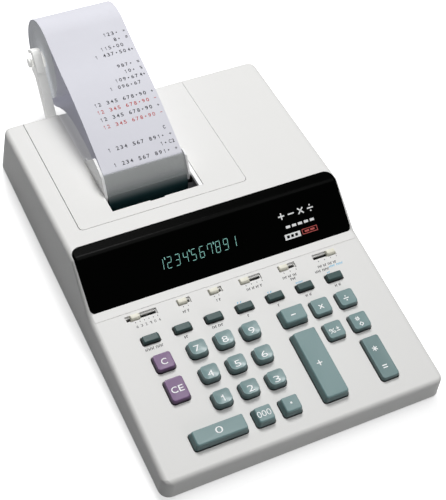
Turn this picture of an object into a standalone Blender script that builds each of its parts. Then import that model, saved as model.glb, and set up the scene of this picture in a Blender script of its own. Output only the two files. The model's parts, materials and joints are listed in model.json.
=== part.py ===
"""Printing desk calculator with a slanted display window, a slide-switch row and a paper roll on two arms.

Frame: metres, +X to the user's right, +Y away from the user, +Z up, origin on the desk under the middle of
the whole object (case and paper roll together). Lengths below are millimetres and are scaled once by MM.
"""

import math

import bmesh
import bpy
from mathutils import Matrix, Vector

MM = 0.001

# Whole object
FRONT_EDGE_Y = -177.4      # front face of the case
FOOT_H = 3.0
GAP = 0.3                  # between pieces that touch
RUN_GAP = 0.4              # between pieces that turn or slide

# Case: side profile and plan
CASE_WIDTH = 200.0         # at the lower edge
SIDE_DRAFT = 0.046         # each side leans in by this much per millimetre of height
REAR_DRAFT = 0.14          # and the rear wall by this much
FRONT_H = 16.9             # front wall, above the case's lower edge
DECK_END = 119.6           # where the key deck ends, from the front edge
BAND_END = 125.6           # lower edge of the slanted display panel
CREST_Y = 155.9
CREST_H = 48.6
CASE_DEPTH = 288.7
REAR_H = 39.3
DECK_TILT = math.radians(4.54)
BAND_RISE = 0.3
PANEL_Z0 = FRONT_H + DECK_END * math.tan(DECK_TILT) + BAND_RISE
CORNER_R = 7.0             # upright corners
EDGE_R = 3.5               # upper edges
WALL = 2.6
REAR_WALL_T = 4.4          # thickness of the rear top, which carries the cover's ledge
PANEL_WALL_T = 4.6         # thickness behind the display window
WINDOW_T = 2.0
COVER_T = 2.4
TRAY_H = 7.0               # height of the bottom tray's rim
INLET_X = 66.0
INLET_Z = 17.0
INLET_W = 21.0
INLET_H = 11.0

# Display window
WINDOW_HALF = 96.0
WINDOW_FRONT = 126.0
WINDOW_REAR = 164.9
WINDOW_R_FRONT = 3.0
WINDOW_R_REAR = 6.5

# Printer cover, paper exit and paper channel
COVER_X0 = -83.2
COVER_X1 = 38.4
COVER_Y0 = 177.9
COVER_R = 3.0
NOTCH_X0 = -57.3
NOTCH_X1 = 9.4
NOTCH_Y = 185.6
COVER_GAP = 0.5
LEDGE = 3.0
CHANNEL_DROP = 2.4         # paper channel floor below the cover's surface
CHANNEL_T = 1.4

# Paper, roll and its holder
PAPER_X0 = -54.4
PAPER_X1 = 3.6
PAPER_T = 0.25
ROLL_Y = 325.3
ROLL_Z = 57.5
ROLL_R = 28.5
CORE_R = 6.2
TAPE_GAP = 0.35            # between the roll and the paper's outer turn
PLATEN_GAP = 0.6           # from the platen to the middle of the paper
SPINDLE_R = 2.1
ARM_LEFT = (-62.5, -56.2)  # across the left arm, which is the wider one
ARM_RIGHT = (4.3, 8.3)
TEAR_Y = 209.3
TEAR_Z = 56.2
CHEEK_LEFT = (NOTCH_X0 + GAP + 0.1, PAPER_X0 - 0.75)   # across the cheeks beside the paper
CHEEK_RIGHT = (PAPER_X1 + 0.75, PAPER_X1 + 2.0)
ARM_FOOT_Z0 = 12.0
ARM_FOOT_Z1 = 22.0

# Printer mechanism
PLATEN_Y = 204.0
PLATEN_Z = 32.0
PLATEN_R = 7.0
DRUM_Y = 188.0
DRUM_Z = 30.0
DRUM_R = 7.3
SHAFT_R = 2.0
SPOOL_R = 9.5
SPOOL_Y = 196.0
SPOOL_X = (-72.0, 23.5)
SPOOL_H = 8.8
LEFT_PLATE = (-61.0, -59.4)    # across the frame's side plates
RIGHT_PLATE = (8.9, 10.5)
FRAME_TOP = 5.4
SHAFT_END = 3.0                # how far the shafts stand out of the side plates
MOTOR_R = 9.0
TUBE_DEPTH = 10.0              # display tube below the middle of the window

# Keys: (name, left, right, front, rear, height above deck, kind, colour), on the deck plane
KEY_TRAVEL = 3.0
KEY_SKIRT = 4.0            # depth of the skirt below the deck surface
KEY_HOLE_GAP = 0.5
COLUMN_X = (-43.0, -24.1, -5.2)
ROW_S = (77.7, 58.9, 40.1)
DIGIT_W = 12.8
DIGIT_D = 11.4
DIGIT_H = 5.3
KEYS = [
    ("key_c", -73.2, -60.2, 71.0, 83.4, 3.6, "low", "purple"),
    ("key_ce", -73.2, -60.2, 47.8, 64.8, 3.6, "low", "purple"),
    ("key_0", -73.1, -36.3, 13.8, 25.9, 5.3, "wide", "teal"),
    ("key_000", -30.4, -17.5, 13.8, 25.9, 5.3, "wide", "teal"),
    ("key_point", -11.5, 1.4, 13.8, 25.9, 5.3, "wide", "teal"),
    ("key_plus", 16.8, 34.6, 13.6, 64.9, 5.3, "wide", "teal"),
    ("key_minus", 16.8, 34.6, 71.4, 84.0, 5.3, "wide", "teal"),
    ("key_times", 40.0, 53.2, 71.2, 83.6, 3.8, "low", "teal"),
    ("key_divide", 59.2, 72.2, 71.2, 83.6, 3.8, "low", "teal"),
    ("key_percent", 40.2, 53.2, 52.0, 64.8, 3.8, "low", "teal"),
    ("key_subtotal", 59.2, 72.2, 52.0, 64.8, 3.8, "low", "teal"),
    ("key_total", 59.2, 72.2, 13.8, 46.0, 3.2, "low", "teal"),
]
FUNCTION_X0 = -67.7
FUNCTION_PITCH = 22.35
FUNCTION_S = 95.9
FUNCTION_W = 12.2
FUNCTION_D = 5.8
FUNCTION_H = 3.0

# Circuit board and its screw bosses, on the deck plane
BOARD_LOW = -10.8
BOARD_T = 1.6
BOSSES = ((-88.0, 12.0), (88.0, 12.0), (-88.0, 106.0), (88.0, 106.0))

# Slide switches: (slot left, slot right, knob centre)
SLIDES = [
    (-77.3, -55.2, -70.7),
    (-41.0, -31.2, -37.3),
    (-18.3, -8.4, -14.5),
    (4.4, 20.4, 8.1),
    (33.5, 46.4, 37.2),
    (59.8, 77.2, 73.4),
]
SLOT_S0 = 112.3
SLOT_S1 = 117.0
SLOT_DEPTH = 1.3
KNOB_W = 6.6
KNOB_H = 1.9
STEM_W = 3.0
STEM_D = 1.4

# Colours as (red, green, blue), roughness, metallic
WHITE = ((0.80, 0.80, 0.79), 0.45, 0.0)
CREAM = ((0.78, 0.77, 0.68), 0.45, 0.0)
TEAL = ((0.18, 0.30, 0.29), 0.40, 0.0)
DARK_TEAL = ((0.08, 0.14, 0.14), 0.45, 0.0)
PURPLE = ((0.27, 0.17, 0.32), 0.40, 0.0)
BLACK_GLOSS = ((0.01, 0.01, 0.01), 0.08, 0.0)
SMOKE = ((0.10, 0.12, 0.13), 0.12, 0.0)
PAPER = ((0.82, 0.82, 0.86), 0.90, 0.0)
RUBBER = ((0.03, 0.03, 0.03), 0.85, 0.0)
STEEL = ((0.55, 0.56, 0.57), 0.35, 1.0)
GREY_PLASTIC = ((0.12, 0.12, 0.13), 0.55, 0.0)
BOARD_GREEN = ((0.03, 0.16, 0.08), 0.50, 0.0)
GLASS_GREEN = ((0.10, 0.28, 0.24), 0.10, 0.0)

MATERIALS = {}


# ---------------------------------------------------------------- scene helpers

def clear_scene():
    for obj in list(bpy.data.objects):
        bpy.data.objects.remove(obj, do_unlink=True)


def new_collection(name):
    made = bpy.data.collections.new(name)
    bpy.context.scene.collection.children.link(made)
    return made


def material(name, look):
    if name not in MATERIALS:
        colour, rough, metal = look
        made = bpy.data.materials.new(name)
        made.use_nodes = True
        shader = made.node_tree.nodes["Principled BSDF"]
        shader.inputs["Base Color"].default_value = (*colour, 1.0)
        shader.inputs["Roughness"].default_value = rough
        shader.inputs["Metallic"].default_value = metal
        MATERIALS[name] = made
    return MATERIALS[name]


def add_object(name, bm, look=None, where=None):
    """Makes an object from bm (millimetres) and links it to the parts, or to the cutters without a look."""
    bmesh.ops.recalc_face_normals(bm, faces=bm.faces)
    bmesh.ops.scale(bm, vec=(MM, MM, MM), verts=bm.verts)
    mesh = bpy.data.meshes.new(name)
    bm.to_mesh(mesh)
    bm.free()
    obj = bpy.data.objects.new(name, mesh)
    if look is None:
        CUTTERS.objects.link(obj)
        obj.hide_render = True
        obj.display_type = "WIRE"
    else:
        PARTS.objects.link(obj)
        mesh.materials.append(material(name + "_finish", look))
    if where is not None:
        obj.location = Vector(where) * MM
    return obj


def smooth(obj, angle=35.0):
    obj.data.shade_smooth()
    obj.data.set_sharp_from_angle(angle=math.radians(angle))


def freeze(obj):
    """Replaces the object's mesh by its evaluated mesh, so that it can be cut or copied."""
    bpy.context.view_layer.update()
    graph = bpy.context.evaluated_depsgraph_get()
    mesh = bpy.data.meshes.new_from_object(obj.evaluated_get(graph))
    obj.modifiers.clear()
    obj.data = mesh
    return obj


def boolean(obj, other, operation="DIFFERENCE"):
    mod = obj.modifiers.new(operation.lower(), "BOOLEAN")
    mod.operation = operation
    mod.solver = "EXACT"
    mod.object = other
    return mod


def union(obj, others):
    """Joins closed helper objects into obj and removes them."""
    for other in others:
        boolean(obj, other, "UNION")
    freeze(obj)
    for other in others:
        bpy.data.objects.remove(other, do_unlink=True)
    return obj


# ---------------------------------------------------------------- shapes (millimetres)

def fy(distance):
    """World Y of a distance measured back from the case's front edge."""
    return FRONT_EDGE_Y + distance


def fz(height):
    """World Z of a height above the case's lower edge."""
    return FOOT_H + height


def box_bm(x0, x1, y0, y1, z0, z1):
    bm = bmesh.new()
    bmesh.ops.create_cube(bm, size=1.0)
    bmesh.ops.scale(bm, vec=(x1 - x0, y1 - y0, z1 - z0), verts=bm.verts)
    bmesh.ops.translate(bm, vec=((x0 + x1) / 2, (y0 + y1) / 2, (z0 + z1) / 2), verts=bm.verts)
    return bm


def prism_bm(outline, axis, low, high):
    """A flat outline extruded along an axis: (y, z) pairs along X, or (x, y) pairs along Z."""
    bm = bmesh.new()
    if axis == "X":
        verts = [bm.verts.new((low, a, b)) for a, b in outline]
        step = (high - low, 0, 0)
    else:
        verts = [bm.verts.new((a, b, low)) for a, b in outline]
        step = (0, 0, high - low)
    face = bm.faces.new(verts)
    grown = bmesh.ops.extrude_face_region(bm, geom=[face])
    top = [item for item in grown["geom"] if isinstance(item, bmesh.types.BMVert)]
    bmesh.ops.translate(bm, vec=step, verts=top)
    return bm


def cylinder_bm(radius, length, segments, axis="Z", centre=(0, 0, 0), radius2=None):
    bm = bmesh.new()
    bmesh.ops.create_cone(bm, cap_ends=True, segments=segments, radius1=radius,
                          radius2=radius if radius2 is None else radius2, depth=length)
    if axis == "X":
        bmesh.ops.rotate(bm, cent=(0, 0, 0), matrix=Matrix.Rotation(math.pi / 2, 3, "Y"), verts=bm.verts)
    elif axis == "Y":
        bmesh.ops.rotate(bm, cent=(0, 0, 0), matrix=Matrix.Rotation(math.pi / 2, 3, "X"), verts=bm.verts)
    bmesh.ops.translate(bm, vec=centre, verts=bm.verts)
    return bm


def rounded_outline(x0, x1, y0, y1, r_front, r_rear, steps=3):
    """Corner-rounded rectangle as (x, y) pairs, counter-clockwise from the front right corner."""
    points = []
    corners = [(x1, y0, r_front, -90), (x1, y1, r_rear, 0), (x0, y1, r_rear, 90), (x0, y0, r_front, 180)]
    for cx, cy, radius, start in corners:
        mx = cx - math.copysign(radius, cx - (x0 + x1) / 2)
        my = cy - math.copysign(radius, cy - (y0 + y1) / 2)
        for i in range(steps + 1):
            angle = math.radians(start + 90 * i / steps)
            points.append((mx + radius * math.cos(angle), my + radius * math.sin(angle)))
    return points


def loft_bm(rings):
    """A closed body through rings of equal length, capped at both ends."""
    bm = bmesh.new()
    rows = [[bm.verts.new(point) for point in ring] for ring in rings]
    count = len(rings[0])
    for low, high in zip(rows, rows[1:]):
        for i in range(count):
            j = (i + 1) % count
            bm.faces.new((low[i], low[j], high[j], high[i]))
    bm.faces.new(rows[0])
    bm.faces.new(rows[-1])
    return bm


def turned(name, profile, segments, look, axis="Z", where=(0, 0, 0)):
    """A turned piece: (radius, position) pairs from top to bottom of its outer side, spun by a Screw."""
    bm = bmesh.new()
    verts = [bm.verts.new((radius, 0, along)) for radius, along in profile]
    for first, second in zip(verts, verts[1:]):
        bm.edges.new((first, second))
    if profile[0][0] > 0 and profile[-1][0] > 0:
        bm.edges.new((verts[-1], verts[0]))
    obj = add_object(name, bm, look, where)
    mod = obj.modifiers.new("turn", "SCREW")
    mod.axis = "Z"
    mod.steps = segments
    mod.render_steps = segments
    mod.use_merge_vertices = True
    mod.merge_threshold = 0.00001
    if axis == "X":
        obj.rotation_euler = (0, math.pi / 2, 0)
    elif axis == "Y":
        obj.rotation_euler = (math.pi / 2, 0, 0)
    return obj


# ---------------------------------------------------------------- case

def deck_frame(obj, x, s):
    """Places an object on the key deck: local X is +X, local Y runs up the deck, local Z is its normal."""
    obj.location = Vector((x, fy(s * math.cos(DECK_TILT)),
                           fz(FRONT_H + s * math.sin(DECK_TILT)))) * MM
    obj.rotation_euler = (DECK_TILT, 0, 0)
    return obj


def half_width(height):
    return CASE_WIDTH / 2 - SIDE_DRAFT * height


def rear_wall(z):
    """Distance of the rear wall's outer face from the front edge, at a height."""
    return CASE_DEPTH + REAR_DRAFT * (REAR_H - z)


def rear_top(y):
    """Height of the rear top surface at a distance from the front edge."""
    return CREST_H + (REAR_H - CREST_H) * (y - CREST_Y) / (CASE_DEPTH - CREST_Y)


def top_profile():
    return [(0, FRONT_H), (DECK_END, PANEL_Z0 - BAND_RISE), (BAND_END, PANEL_Z0),
            (CREST_Y, CREST_H), (CASE_DEPTH, REAR_H)]


def lowered(drop):
    """The top profile moved down square to each surface by drop, long enough to pass both ends."""
    slopes = []
    points = top_profile()
    for (ya, za), (yb, zb) in zip(points, points[1:]):
        angle = math.atan2(zb - za, yb - ya)
        slopes.append((ya + drop * math.sin(angle), za - drop * math.cos(angle), angle))
    result = [(-20.0, slopes[0][1] - (slopes[0][0] + 20.0) * math.tan(slopes[0][2]))]
    for (ya, za, first), (yb, zb, second) in zip(slopes, slopes[1:]):
        ta, tb = math.tan(first), math.tan(second)
        y = (zb - za + ya * ta - yb * tb) / (ta - tb)
        result.append((y, za + (y - ya) * ta))
    y, z, angle = slopes[-1]
    result.append((CASE_DEPTH + 20.0, z + (CASE_DEPTH + 20.0 - y) * math.tan(angle)))
    return result


def case_block():
    """The case's outer form as one solid block with its rounded edges."""
    bm = bmesh.new()
    profile = [(0, 0)] + top_profile() + [(rear_wall(0), 0)]
    left = [bm.verts.new((-half_width(z), fy(y), fz(z))) for y, z in profile]
    right = [bm.verts.new((half_width(z), fy(y), fz(z))) for y, z in profile]
    bm.faces.new(left)
    bm.faces.new(right)
    count = len(profile)
    for i in range(count):
        j = (i + 1) % count
        bm.faces.new((left[i], left[j], right[j], right[i]))
    weight = bm.edges.layers.float.new("bevel_weight_edge")
    for side in (left, right):
        for i in range(count - 1):
            edge = bm.edges.get((side[i], side[i + 1]))
            upright = i in (0, count - 2)
            edge[weight] = 1.0 if upright else EDGE_R / CORNER_R
    for i in (1, count - 2):
        bm.edges.get((left[i], right[i]))[weight] = EDGE_R / CORNER_R
    bm.edges.get((left[4], right[4]))[weight] = 0.3
    obj = add_object("case_block", bm)
    mod = obj.modifiers.new("rounding", "BEVEL")
    mod.limit_method = "WEIGHT"
    mod.width = CORNER_R * MM
    mod.segments = 4
    mod.use_clamp_overlap = False
    return freeze(obj)


def copy_of(obj, name, look=None):
    made = obj.copy()
    made.data = obj.data.copy()
    made.name = name
    if look is None:
        CUTTERS.objects.link(made)
    else:
        made.hide_render = False
        made.display_type = "TEXTURED"
        made.data.materials.clear()
        made.data.materials.append(material(name + "_finish", look))
        PARTS.objects.link(made)
    return made


def under_surface(name, drop, x0, x1):
    """Everything deeper than drop below the case's upper surfaces, as a cutter."""
    outline = [(fy(y), fz(z)) for y, z in lowered(drop)]
    outline += [(fy(CASE_DEPTH + 20.0), -30.0), (fy(-20.0), -30.0)]
    return add_object(name, prism_bm(outline, "X", x0, x1))


def build_case():
    block = case_block()

    # Hollow inside, open at the bottom, thicker behind the window and under the rear top.
    inner = case_cavity()
    top = copy_of(block, "top_case", WHITE)
    boolean(top, inner)

    # Recess for the display window, with an opening behind the digits.
    recess = add_object("window_recess", prism_bm(
        rounded_outline(-WINDOW_HALF - GAP, WINDOW_HALF + GAP,
                        fy(WINDOW_FRONT - GAP), fy(WINDOW_REAR + GAP),
                        WINDOW_R_FRONT, WINDOW_R_REAR, 5), "Z", fz(10), fz(70)))
    boolean(recess, under_surface("recess_floor", WINDOW_T + GAP, -130, 130))
    freeze(recess)
    boolean(top, recess)
    display_opening = add_object("display_opening", box_bm(-66, 36, fy(130), fy(150), fz(18), fz(60)))
    boolean(top, display_opening)

    # Recess, ledge and opening for the printer cover; the rear wall is lower under the paper channel.
    seat = add_object("cover_seat", prism_bm(
        rounded_outline(COVER_X0 - COVER_GAP, COVER_X1 + COVER_GAP, fy(COVER_Y0 - COVER_GAP),
                        fy(CASE_DEPTH + 30), COVER_R, COVER_R, 4), "Z", fz(20), fz(70)))
    boolean(seat, under_surface("seat_floor", COVER_T + GAP, -130, 130))
    freeze(seat)
    boolean(top, seat)
    well = add_object("printer_well", box_bm(COVER_X0 + LEDGE, COVER_X1 - LEDGE, fy(COVER_Y0 + LEDGE),
                                             fy(CASE_DEPTH - LEDGE - 1.0), fz(10), fz(60)))
    boolean(top, well)
    channel_floor = rear_top(CASE_DEPTH) - CHANNEL_DROP - CHANNEL_T - GAP
    dip = add_object("rear_wall_dip", box_bm(NOTCH_X0 - GAP, NOTCH_X1 + GAP,
                                             fy(CASE_DEPTH - 8), fy(CASE_DEPTH + 5),
                                             fz(channel_floor), fz(60)))
    boolean(top, dip)

    # Holes for the keys, pockets and slots for the slide switches.
    for name, outline in key_outlines(KEY_HOLE_GAP):
        hole = add_object("hole_" + name, prism_bm(outline, "Z", -12.0, 12.0))
        boolean(top, deck_frame(hole, 0, 0))
    for i, (x0, x1, _) in enumerate(SLIDES):
        pocket = add_object(f"pocket_{i + 1}", box_bm(x0, x1, SLOT_S0, SLOT_S1, -SLOT_DEPTH, 8.0))
        boolean(top, deck_frame(pocket, 0, 0))
        middle = (SLOT_S0 + SLOT_S1) / 2
        edge = (KNOB_W - STEM_W) / 2 - RUN_GAP
        slot = add_object(f"slot_{i + 1}", box_bm(x0 + edge, x1 - edge, middle - STEM_D / 2 - RUN_GAP,
                                                  middle + STEM_D / 2 + RUN_GAP, -8.0, 4.0))
        boolean(top, deck_frame(slot, 0, 0))

    # Sockets for the roll arms and the opening for the mains inlet in the rear wall.
    for i, (x0, x1) in enumerate((ARM_LEFT, ARM_RIGHT)):
        socket = add_object(f"arm_socket_{i + 1}", box_bm(x0 - GAP, x1 + GAP, fy(CASE_DEPTH - 8),
                                                          fy(CASE_DEPTH + 9), fz(ARM_FOOT_Z0 - GAP),
                                                          fz(ARM_FOOT_Z1 + GAP)))
        boolean(top, socket)
    inlet = add_object("inlet_opening", box_bm(INLET_X - INLET_W / 2 - GAP, INLET_X + INLET_W / 2 + GAP,
                                               fy(CASE_DEPTH - 8), fy(CASE_DEPTH + 9),
                                               fz(INLET_Z - INLET_H / 2 - GAP), fz(INLET_Z + INLET_H / 2 + GAP)))
    boolean(top, inlet)
    freeze(top)
    smooth(top)

    # The display window: the block's own skin inside the window's outline.
    window = copy_of(block, "display_window", BLACK_GLOSS)
    pane = add_object("window_outline", prism_bm(
        rounded_outline(-WINDOW_HALF, WINDOW_HALF, fy(WINDOW_FRONT), fy(WINDOW_REAR),
                        WINDOW_R_FRONT, WINDOW_R_REAR, 5), "Z", fz(10), fz(70)))
    boolean(window, pane, "INTERSECT")
    boolean(window, under_surface("window_back", WINDOW_T, -130, 130))
    freeze(window)
    smooth(window)

    # The printer cover: U-shaped, open to the rear round the paper.
    cover = copy_of(block, "printer_cover", WHITE)
    plate = add_object("cover_outline", prism_bm(
        rounded_outline(COVER_X0, COVER_X1, fy(COVER_Y0), fy(CASE_DEPTH + 30), COVER_R, COVER_R, 4),
        "Z", fz(10), fz(70)))
    boolean(cover, plate, "INTERSECT")
    boolean(cover, under_surface("cover_back", COVER_T, -130, 130))
    notch = add_object("paper_notch",
                       box_bm(NOTCH_X0, NOTCH_X1, fy(NOTCH_Y), fy(CASE_DEPTH + 10), 0, 90))
    boolean(cover, notch)
    finger = add_object("finger_notch", box_bm(-30.2, -19.6, fy(NOTCH_Y - 0.8), fy(NOTCH_Y + 3), 0, 90))
    boolean(cover, finger)
    freeze(cover)
    cover.data.transform(Matrix.Translation(-Vector((0, fy(COVER_Y0), fz(rear_top(COVER_Y0)))) * MM))
    cover.location = Vector((0, fy(COVER_Y0), fz(rear_top(COVER_Y0)))) * MM
    smooth(cover)
    bpy.data.objects.remove(block, do_unlink=True)


def case_cavity():
    """The room inside the case, with its own depth under each upper surface."""
    deck = lowered(WALL)
    panel = lowered(PANEL_WALL_T)
    rear = lowered(REAR_WALL_T)
    inset = WALL + 0.2
    start = (inset, deck[0][1] + (inset + 20.0) * math.tan(DECK_TILT))
    end_z = rear[-1][1] + (20.0 + inset) * math.tan(math.atan2(CREST_H - REAR_H, CASE_DEPTH - CREST_Y))
    profile = [(inset, -10.0), start,
               (DECK_END + 1.0, deck[1][1] - 0.22), (panel[2][0] + 1.4, panel[2][1]),
               panel[3], (CASE_DEPTH - inset, end_z), (rear_wall(-10.0) - inset, -10.0)]
    bm = bmesh.new()
    left = [bm.verts.new((-half_width(z) + inset, fy(y), fz(z))) for y, z in profile]
    right = [bm.verts.new((half_width(z) - inset, fy(y), fz(z))) for y, z in profile]
    bm.faces.new(left)
    bm.faces.new(right)
    count = len(profile)
    for i in range(count):
        j = (i + 1) % count
        bm.faces.new((left[i], left[j], right[j], right[i]))
    uprights = [bm.edges.get((side[i], side[i + 1])) for side in (left, right) for i in (0, count - 2)]
    bmesh.ops.bevel(bm, geom=uprights, offset=CORNER_R - WALL, segments=3, affect="EDGES", profile=0.5)
    return add_object("case_cavity", bm)


def build_bottom():
    inset = WALL + 0.2 + GAP + 0.35
    rear = rear_wall(TRAY_H) - inset
    floor = rounded_outline(-CASE_WIDTH / 2 + inset, CASE_WIDTH / 2 - inset, fy(inset), fy(rear),
                            CORNER_R - WALL, CORNER_R - WALL, 3)
    tray = add_object("bottom_case", prism_bm(floor, "Z", fz(0), fz(TRAY_H)), WHITE)
    rim = 1.8
    lift = 0.7
    hollow = rounded_outline(-CASE_WIDTH / 2 + inset + rim, CASE_WIDTH / 2 - inset - rim, fy(inset + rim),
                             fy(rear - rim), 3.0, 3.0, 3)
    boolean(tray, add_object("tray_hollow", prism_bm(hollow, "Z", fz(2.2), fz(20))))
    freeze(tray)
    posts = []
    for i, (x, s) in enumerate(BOSSES):
        height = FRONT_H + s * math.tan(DECK_TILT) + BOARD_LOW - lift
        middle = (x, fy(s), fz((height + 1.0) / 2))
        posts.append(add_object(f"boss_{i}", cylinder_bm(3.0, height - 1.0, 12, "Z", middle)))
    union(tray, posts)
    smooth(tray)
    for side_name, x in (("left", -80.0), ("right", 80.0)):
        for end_name, s in (("front", 22.0), ("rear", 266.0)):
            foot = turned(f"foot_{end_name}_{side_name}",
                          [(0, FOOT_H - GAP), (8.0, FOOT_H - GAP), (8.0, 0.6), (7.4, 0), (0, 0)],
                          20, RUBBER, where=(x, fy(s), 0))
            smooth(foot)


# ---------------------------------------------------------------- keys and slide switches

def digit_keys():
    names = (("7", "8", "9"), ("4", "5", "6"), ("1", "2", "3"))
    for row, s in zip(names, ROW_S):
        for digit, x in zip(row, COLUMN_X):
            yield (f"key_{digit}", x - DIGIT_W / 2, x + DIGIT_W / 2, s - DIGIT_D / 2, s + DIGIT_D / 2,
                   DIGIT_H, "digit", "teal")


def function_keys():
    for i in range(7):
        x = FUNCTION_X0 + FUNCTION_PITCH * i
        yield (f"key_f{i + 1}", x - FUNCTION_W / 2, x + FUNCTION_W / 2, FUNCTION_S - FUNCTION_D / 2,
               FUNCTION_S + FUNCTION_D / 2, FUNCTION_H, "function", "dark")


def all_keys():
    return list(digit_keys()) + KEYS + list(function_keys())


def corner_radii(kind):
    return {"digit": (3.6, 2.4), "wide": (2.0, 1.6), "low": (2.2, 1.8), "function": (0.6, 0.6)}[kind]


def key_outlines(margin):
    for name, x0, x1, s0, s1, _, kind, _ in all_keys():
        front, rear = corner_radii(kind)
        steps = 1 if kind == "function" else 3
        yield name, rounded_outline(x0 - margin, x1 + margin, s0 - margin, s1 + margin,
                                    front + margin, rear + margin, steps)


def key_rings(width, depth, height, kind):
    """Sections of a key from the skirt's lower edge to its top: (inset left, right, front, rear, level)."""
    if kind == "digit":
        levels = [(0, 0, 0, 0, -KEY_SKIRT), (0, 0, 0, 0, 1.6), (0.5, 0.5, 0.5, 0.3, 2.0),
                  (0.9, 0.9, 1.4, 0.6, height - 0.2), (1.3, 1.3, 1.8, 1.0, height)]
    elif kind == "wide":
        levels = [(0, 0, 0, 0, -KEY_SKIRT), (0, 0, 0, 0, 1.8), (0.5, 0.3, 0.4, 0.3, 2.1),
                  (1.3, 0.6, 0.9, 0.6, height - 0.7), (2.1, 0.8, 1.9, 0.8, height)]
    elif kind == "low":
        levels = [(0, 0, 0, 0, -KEY_SKIRT), (0, 0, 0, 0, 1.0),
                  (0.5, 0.5, 0.5, 0.5, height - 0.6), (1.1, 1.1, 1.1, 1.1, height)]
    else:
        levels = [(0, 0, 0, 0, -KEY_SKIRT), (0, 0, 0, 0, 0.6),
                  (0.8, 0.8, 0.8, 0.5, height - 0.2), (1.1, 1.1, 1.1, 0.8, height)]
    front, rear = corner_radii(kind)
    steps = 1 if kind == "function" else 3
    rings = []
    for left, right, near, far, level in levels:
        shrink = (left + near) / 2
        outline = rounded_outline(-width / 2 + left, width / 2 - right,
                                  -depth / 2 + near, depth / 2 - far,
                                  max(front - shrink * 0.6, 0.4), max(rear - shrink * 0.6, 0.4), steps)
        rings.append([(x, y, level) for x, y in outline])
    if kind == "digit":
        middle_x = sum(point[0] for point in rings[-1]) / len(rings[-1])
        middle_y = sum(point[1] for point in rings[-1]) / len(rings[-1])
        for scale, dip in ((0.62, 0.45), (0.28, 0.62)):
            rings.append([(middle_x + (x - middle_x) * scale, middle_y + (y - middle_y) * scale,
                           height - dip)
                          for x, y, _ in rings[4]])
    return rings


def build_keys():
    looks = {"teal": TEAL, "dark": DARK_TEAL, "purple": PURPLE}
    for name, x0, x1, s0, s1, height, kind, look in all_keys():
        key = add_object(name, loft_bm(key_rings(x1 - x0, s1 - s0, height, kind)), looks[look])
        deck_frame(key, (x0 + x1) / 2, (s0 + s1) / 2)
        smooth(key, 28)


def build_slides():
    for i, (_, _, centre) in enumerate(SLIDES):
        depth = SLOT_S1 - SLOT_S0 - 2 * RUN_GAP
        floor = -SLOT_DEPTH + GAP
        rings = []
        for inset, level in ((0, floor), (0, 0.4), (0.4, KNOB_H - 0.4), (0.8, KNOB_H)):
            outline = rounded_outline(-KNOB_W / 2 + inset, KNOB_W / 2 - inset,
                                      -depth / 2 + inset, depth / 2 - inset, 0.5, 0.5, 1)
            rings.append([(x, y, level) for x, y in outline])
        knob = add_object(f"slide_knob_{i + 1}", loft_bm(rings), CREAM)
        stem = add_object("stem", box_bm(-STEM_W / 2, STEM_W / 2, -STEM_D / 2, STEM_D / 2, -5.0, 0.0))
        union(knob, [stem])
        deck_frame(knob, centre, (SLOT_S0 + SLOT_S1) / 2)
        smooth(knob)


# ---------------------------------------------------------------- inside the case

def build_electronics():
    board = add_object("main_board",
                       box_bm(-92, 92, 6.0, 112.0, BOARD_LOW, BOARD_LOW + BOARD_T), BOARD_GREEN)
    deck_frame(board, 0, 0)
    mat = add_object("key_mat", box_bm(-82, 82, 9.0, 104.0, BOARD_LOW + BOARD_T + GAP,
                                       -KEY_TRAVEL - KEY_SKIRT - GAP), RUBBER)
    deck_frame(mat, 0, 0)
    tilt = math.atan2(CREST_H - PANEL_Z0, CREST_Y - BAND_END)
    middle_y = (BAND_END + CREST_Y) / 2 + TUBE_DEPTH * math.sin(tilt)
    middle_z = (PANEL_Z0 + CREST_H) / 2 - TUBE_DEPTH * math.cos(tilt)
    tube = add_object("display_tube", box_bm(-62, 32, -9.5, 9.5, -3.0, 3.0), GLASS_GREEN)
    edges = tube.modifiers.new("edges", "BEVEL")
    edges.width = 0.8 * MM
    edges.segments = 1
    tube.location = Vector((0, fy(middle_y), fz(middle_z))) * MM
    tube.rotation_euler = (tilt, 0, 0)

    core = add_object("transformer", box_bm(50, 90, fy(214), fy(248), fz(4), fz(32)), STEEL)
    coil = add_object("coil", box_bm(57, 83, fy(208), fy(254), fz(7), fz(29)))
    union(core, [coil])


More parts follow.
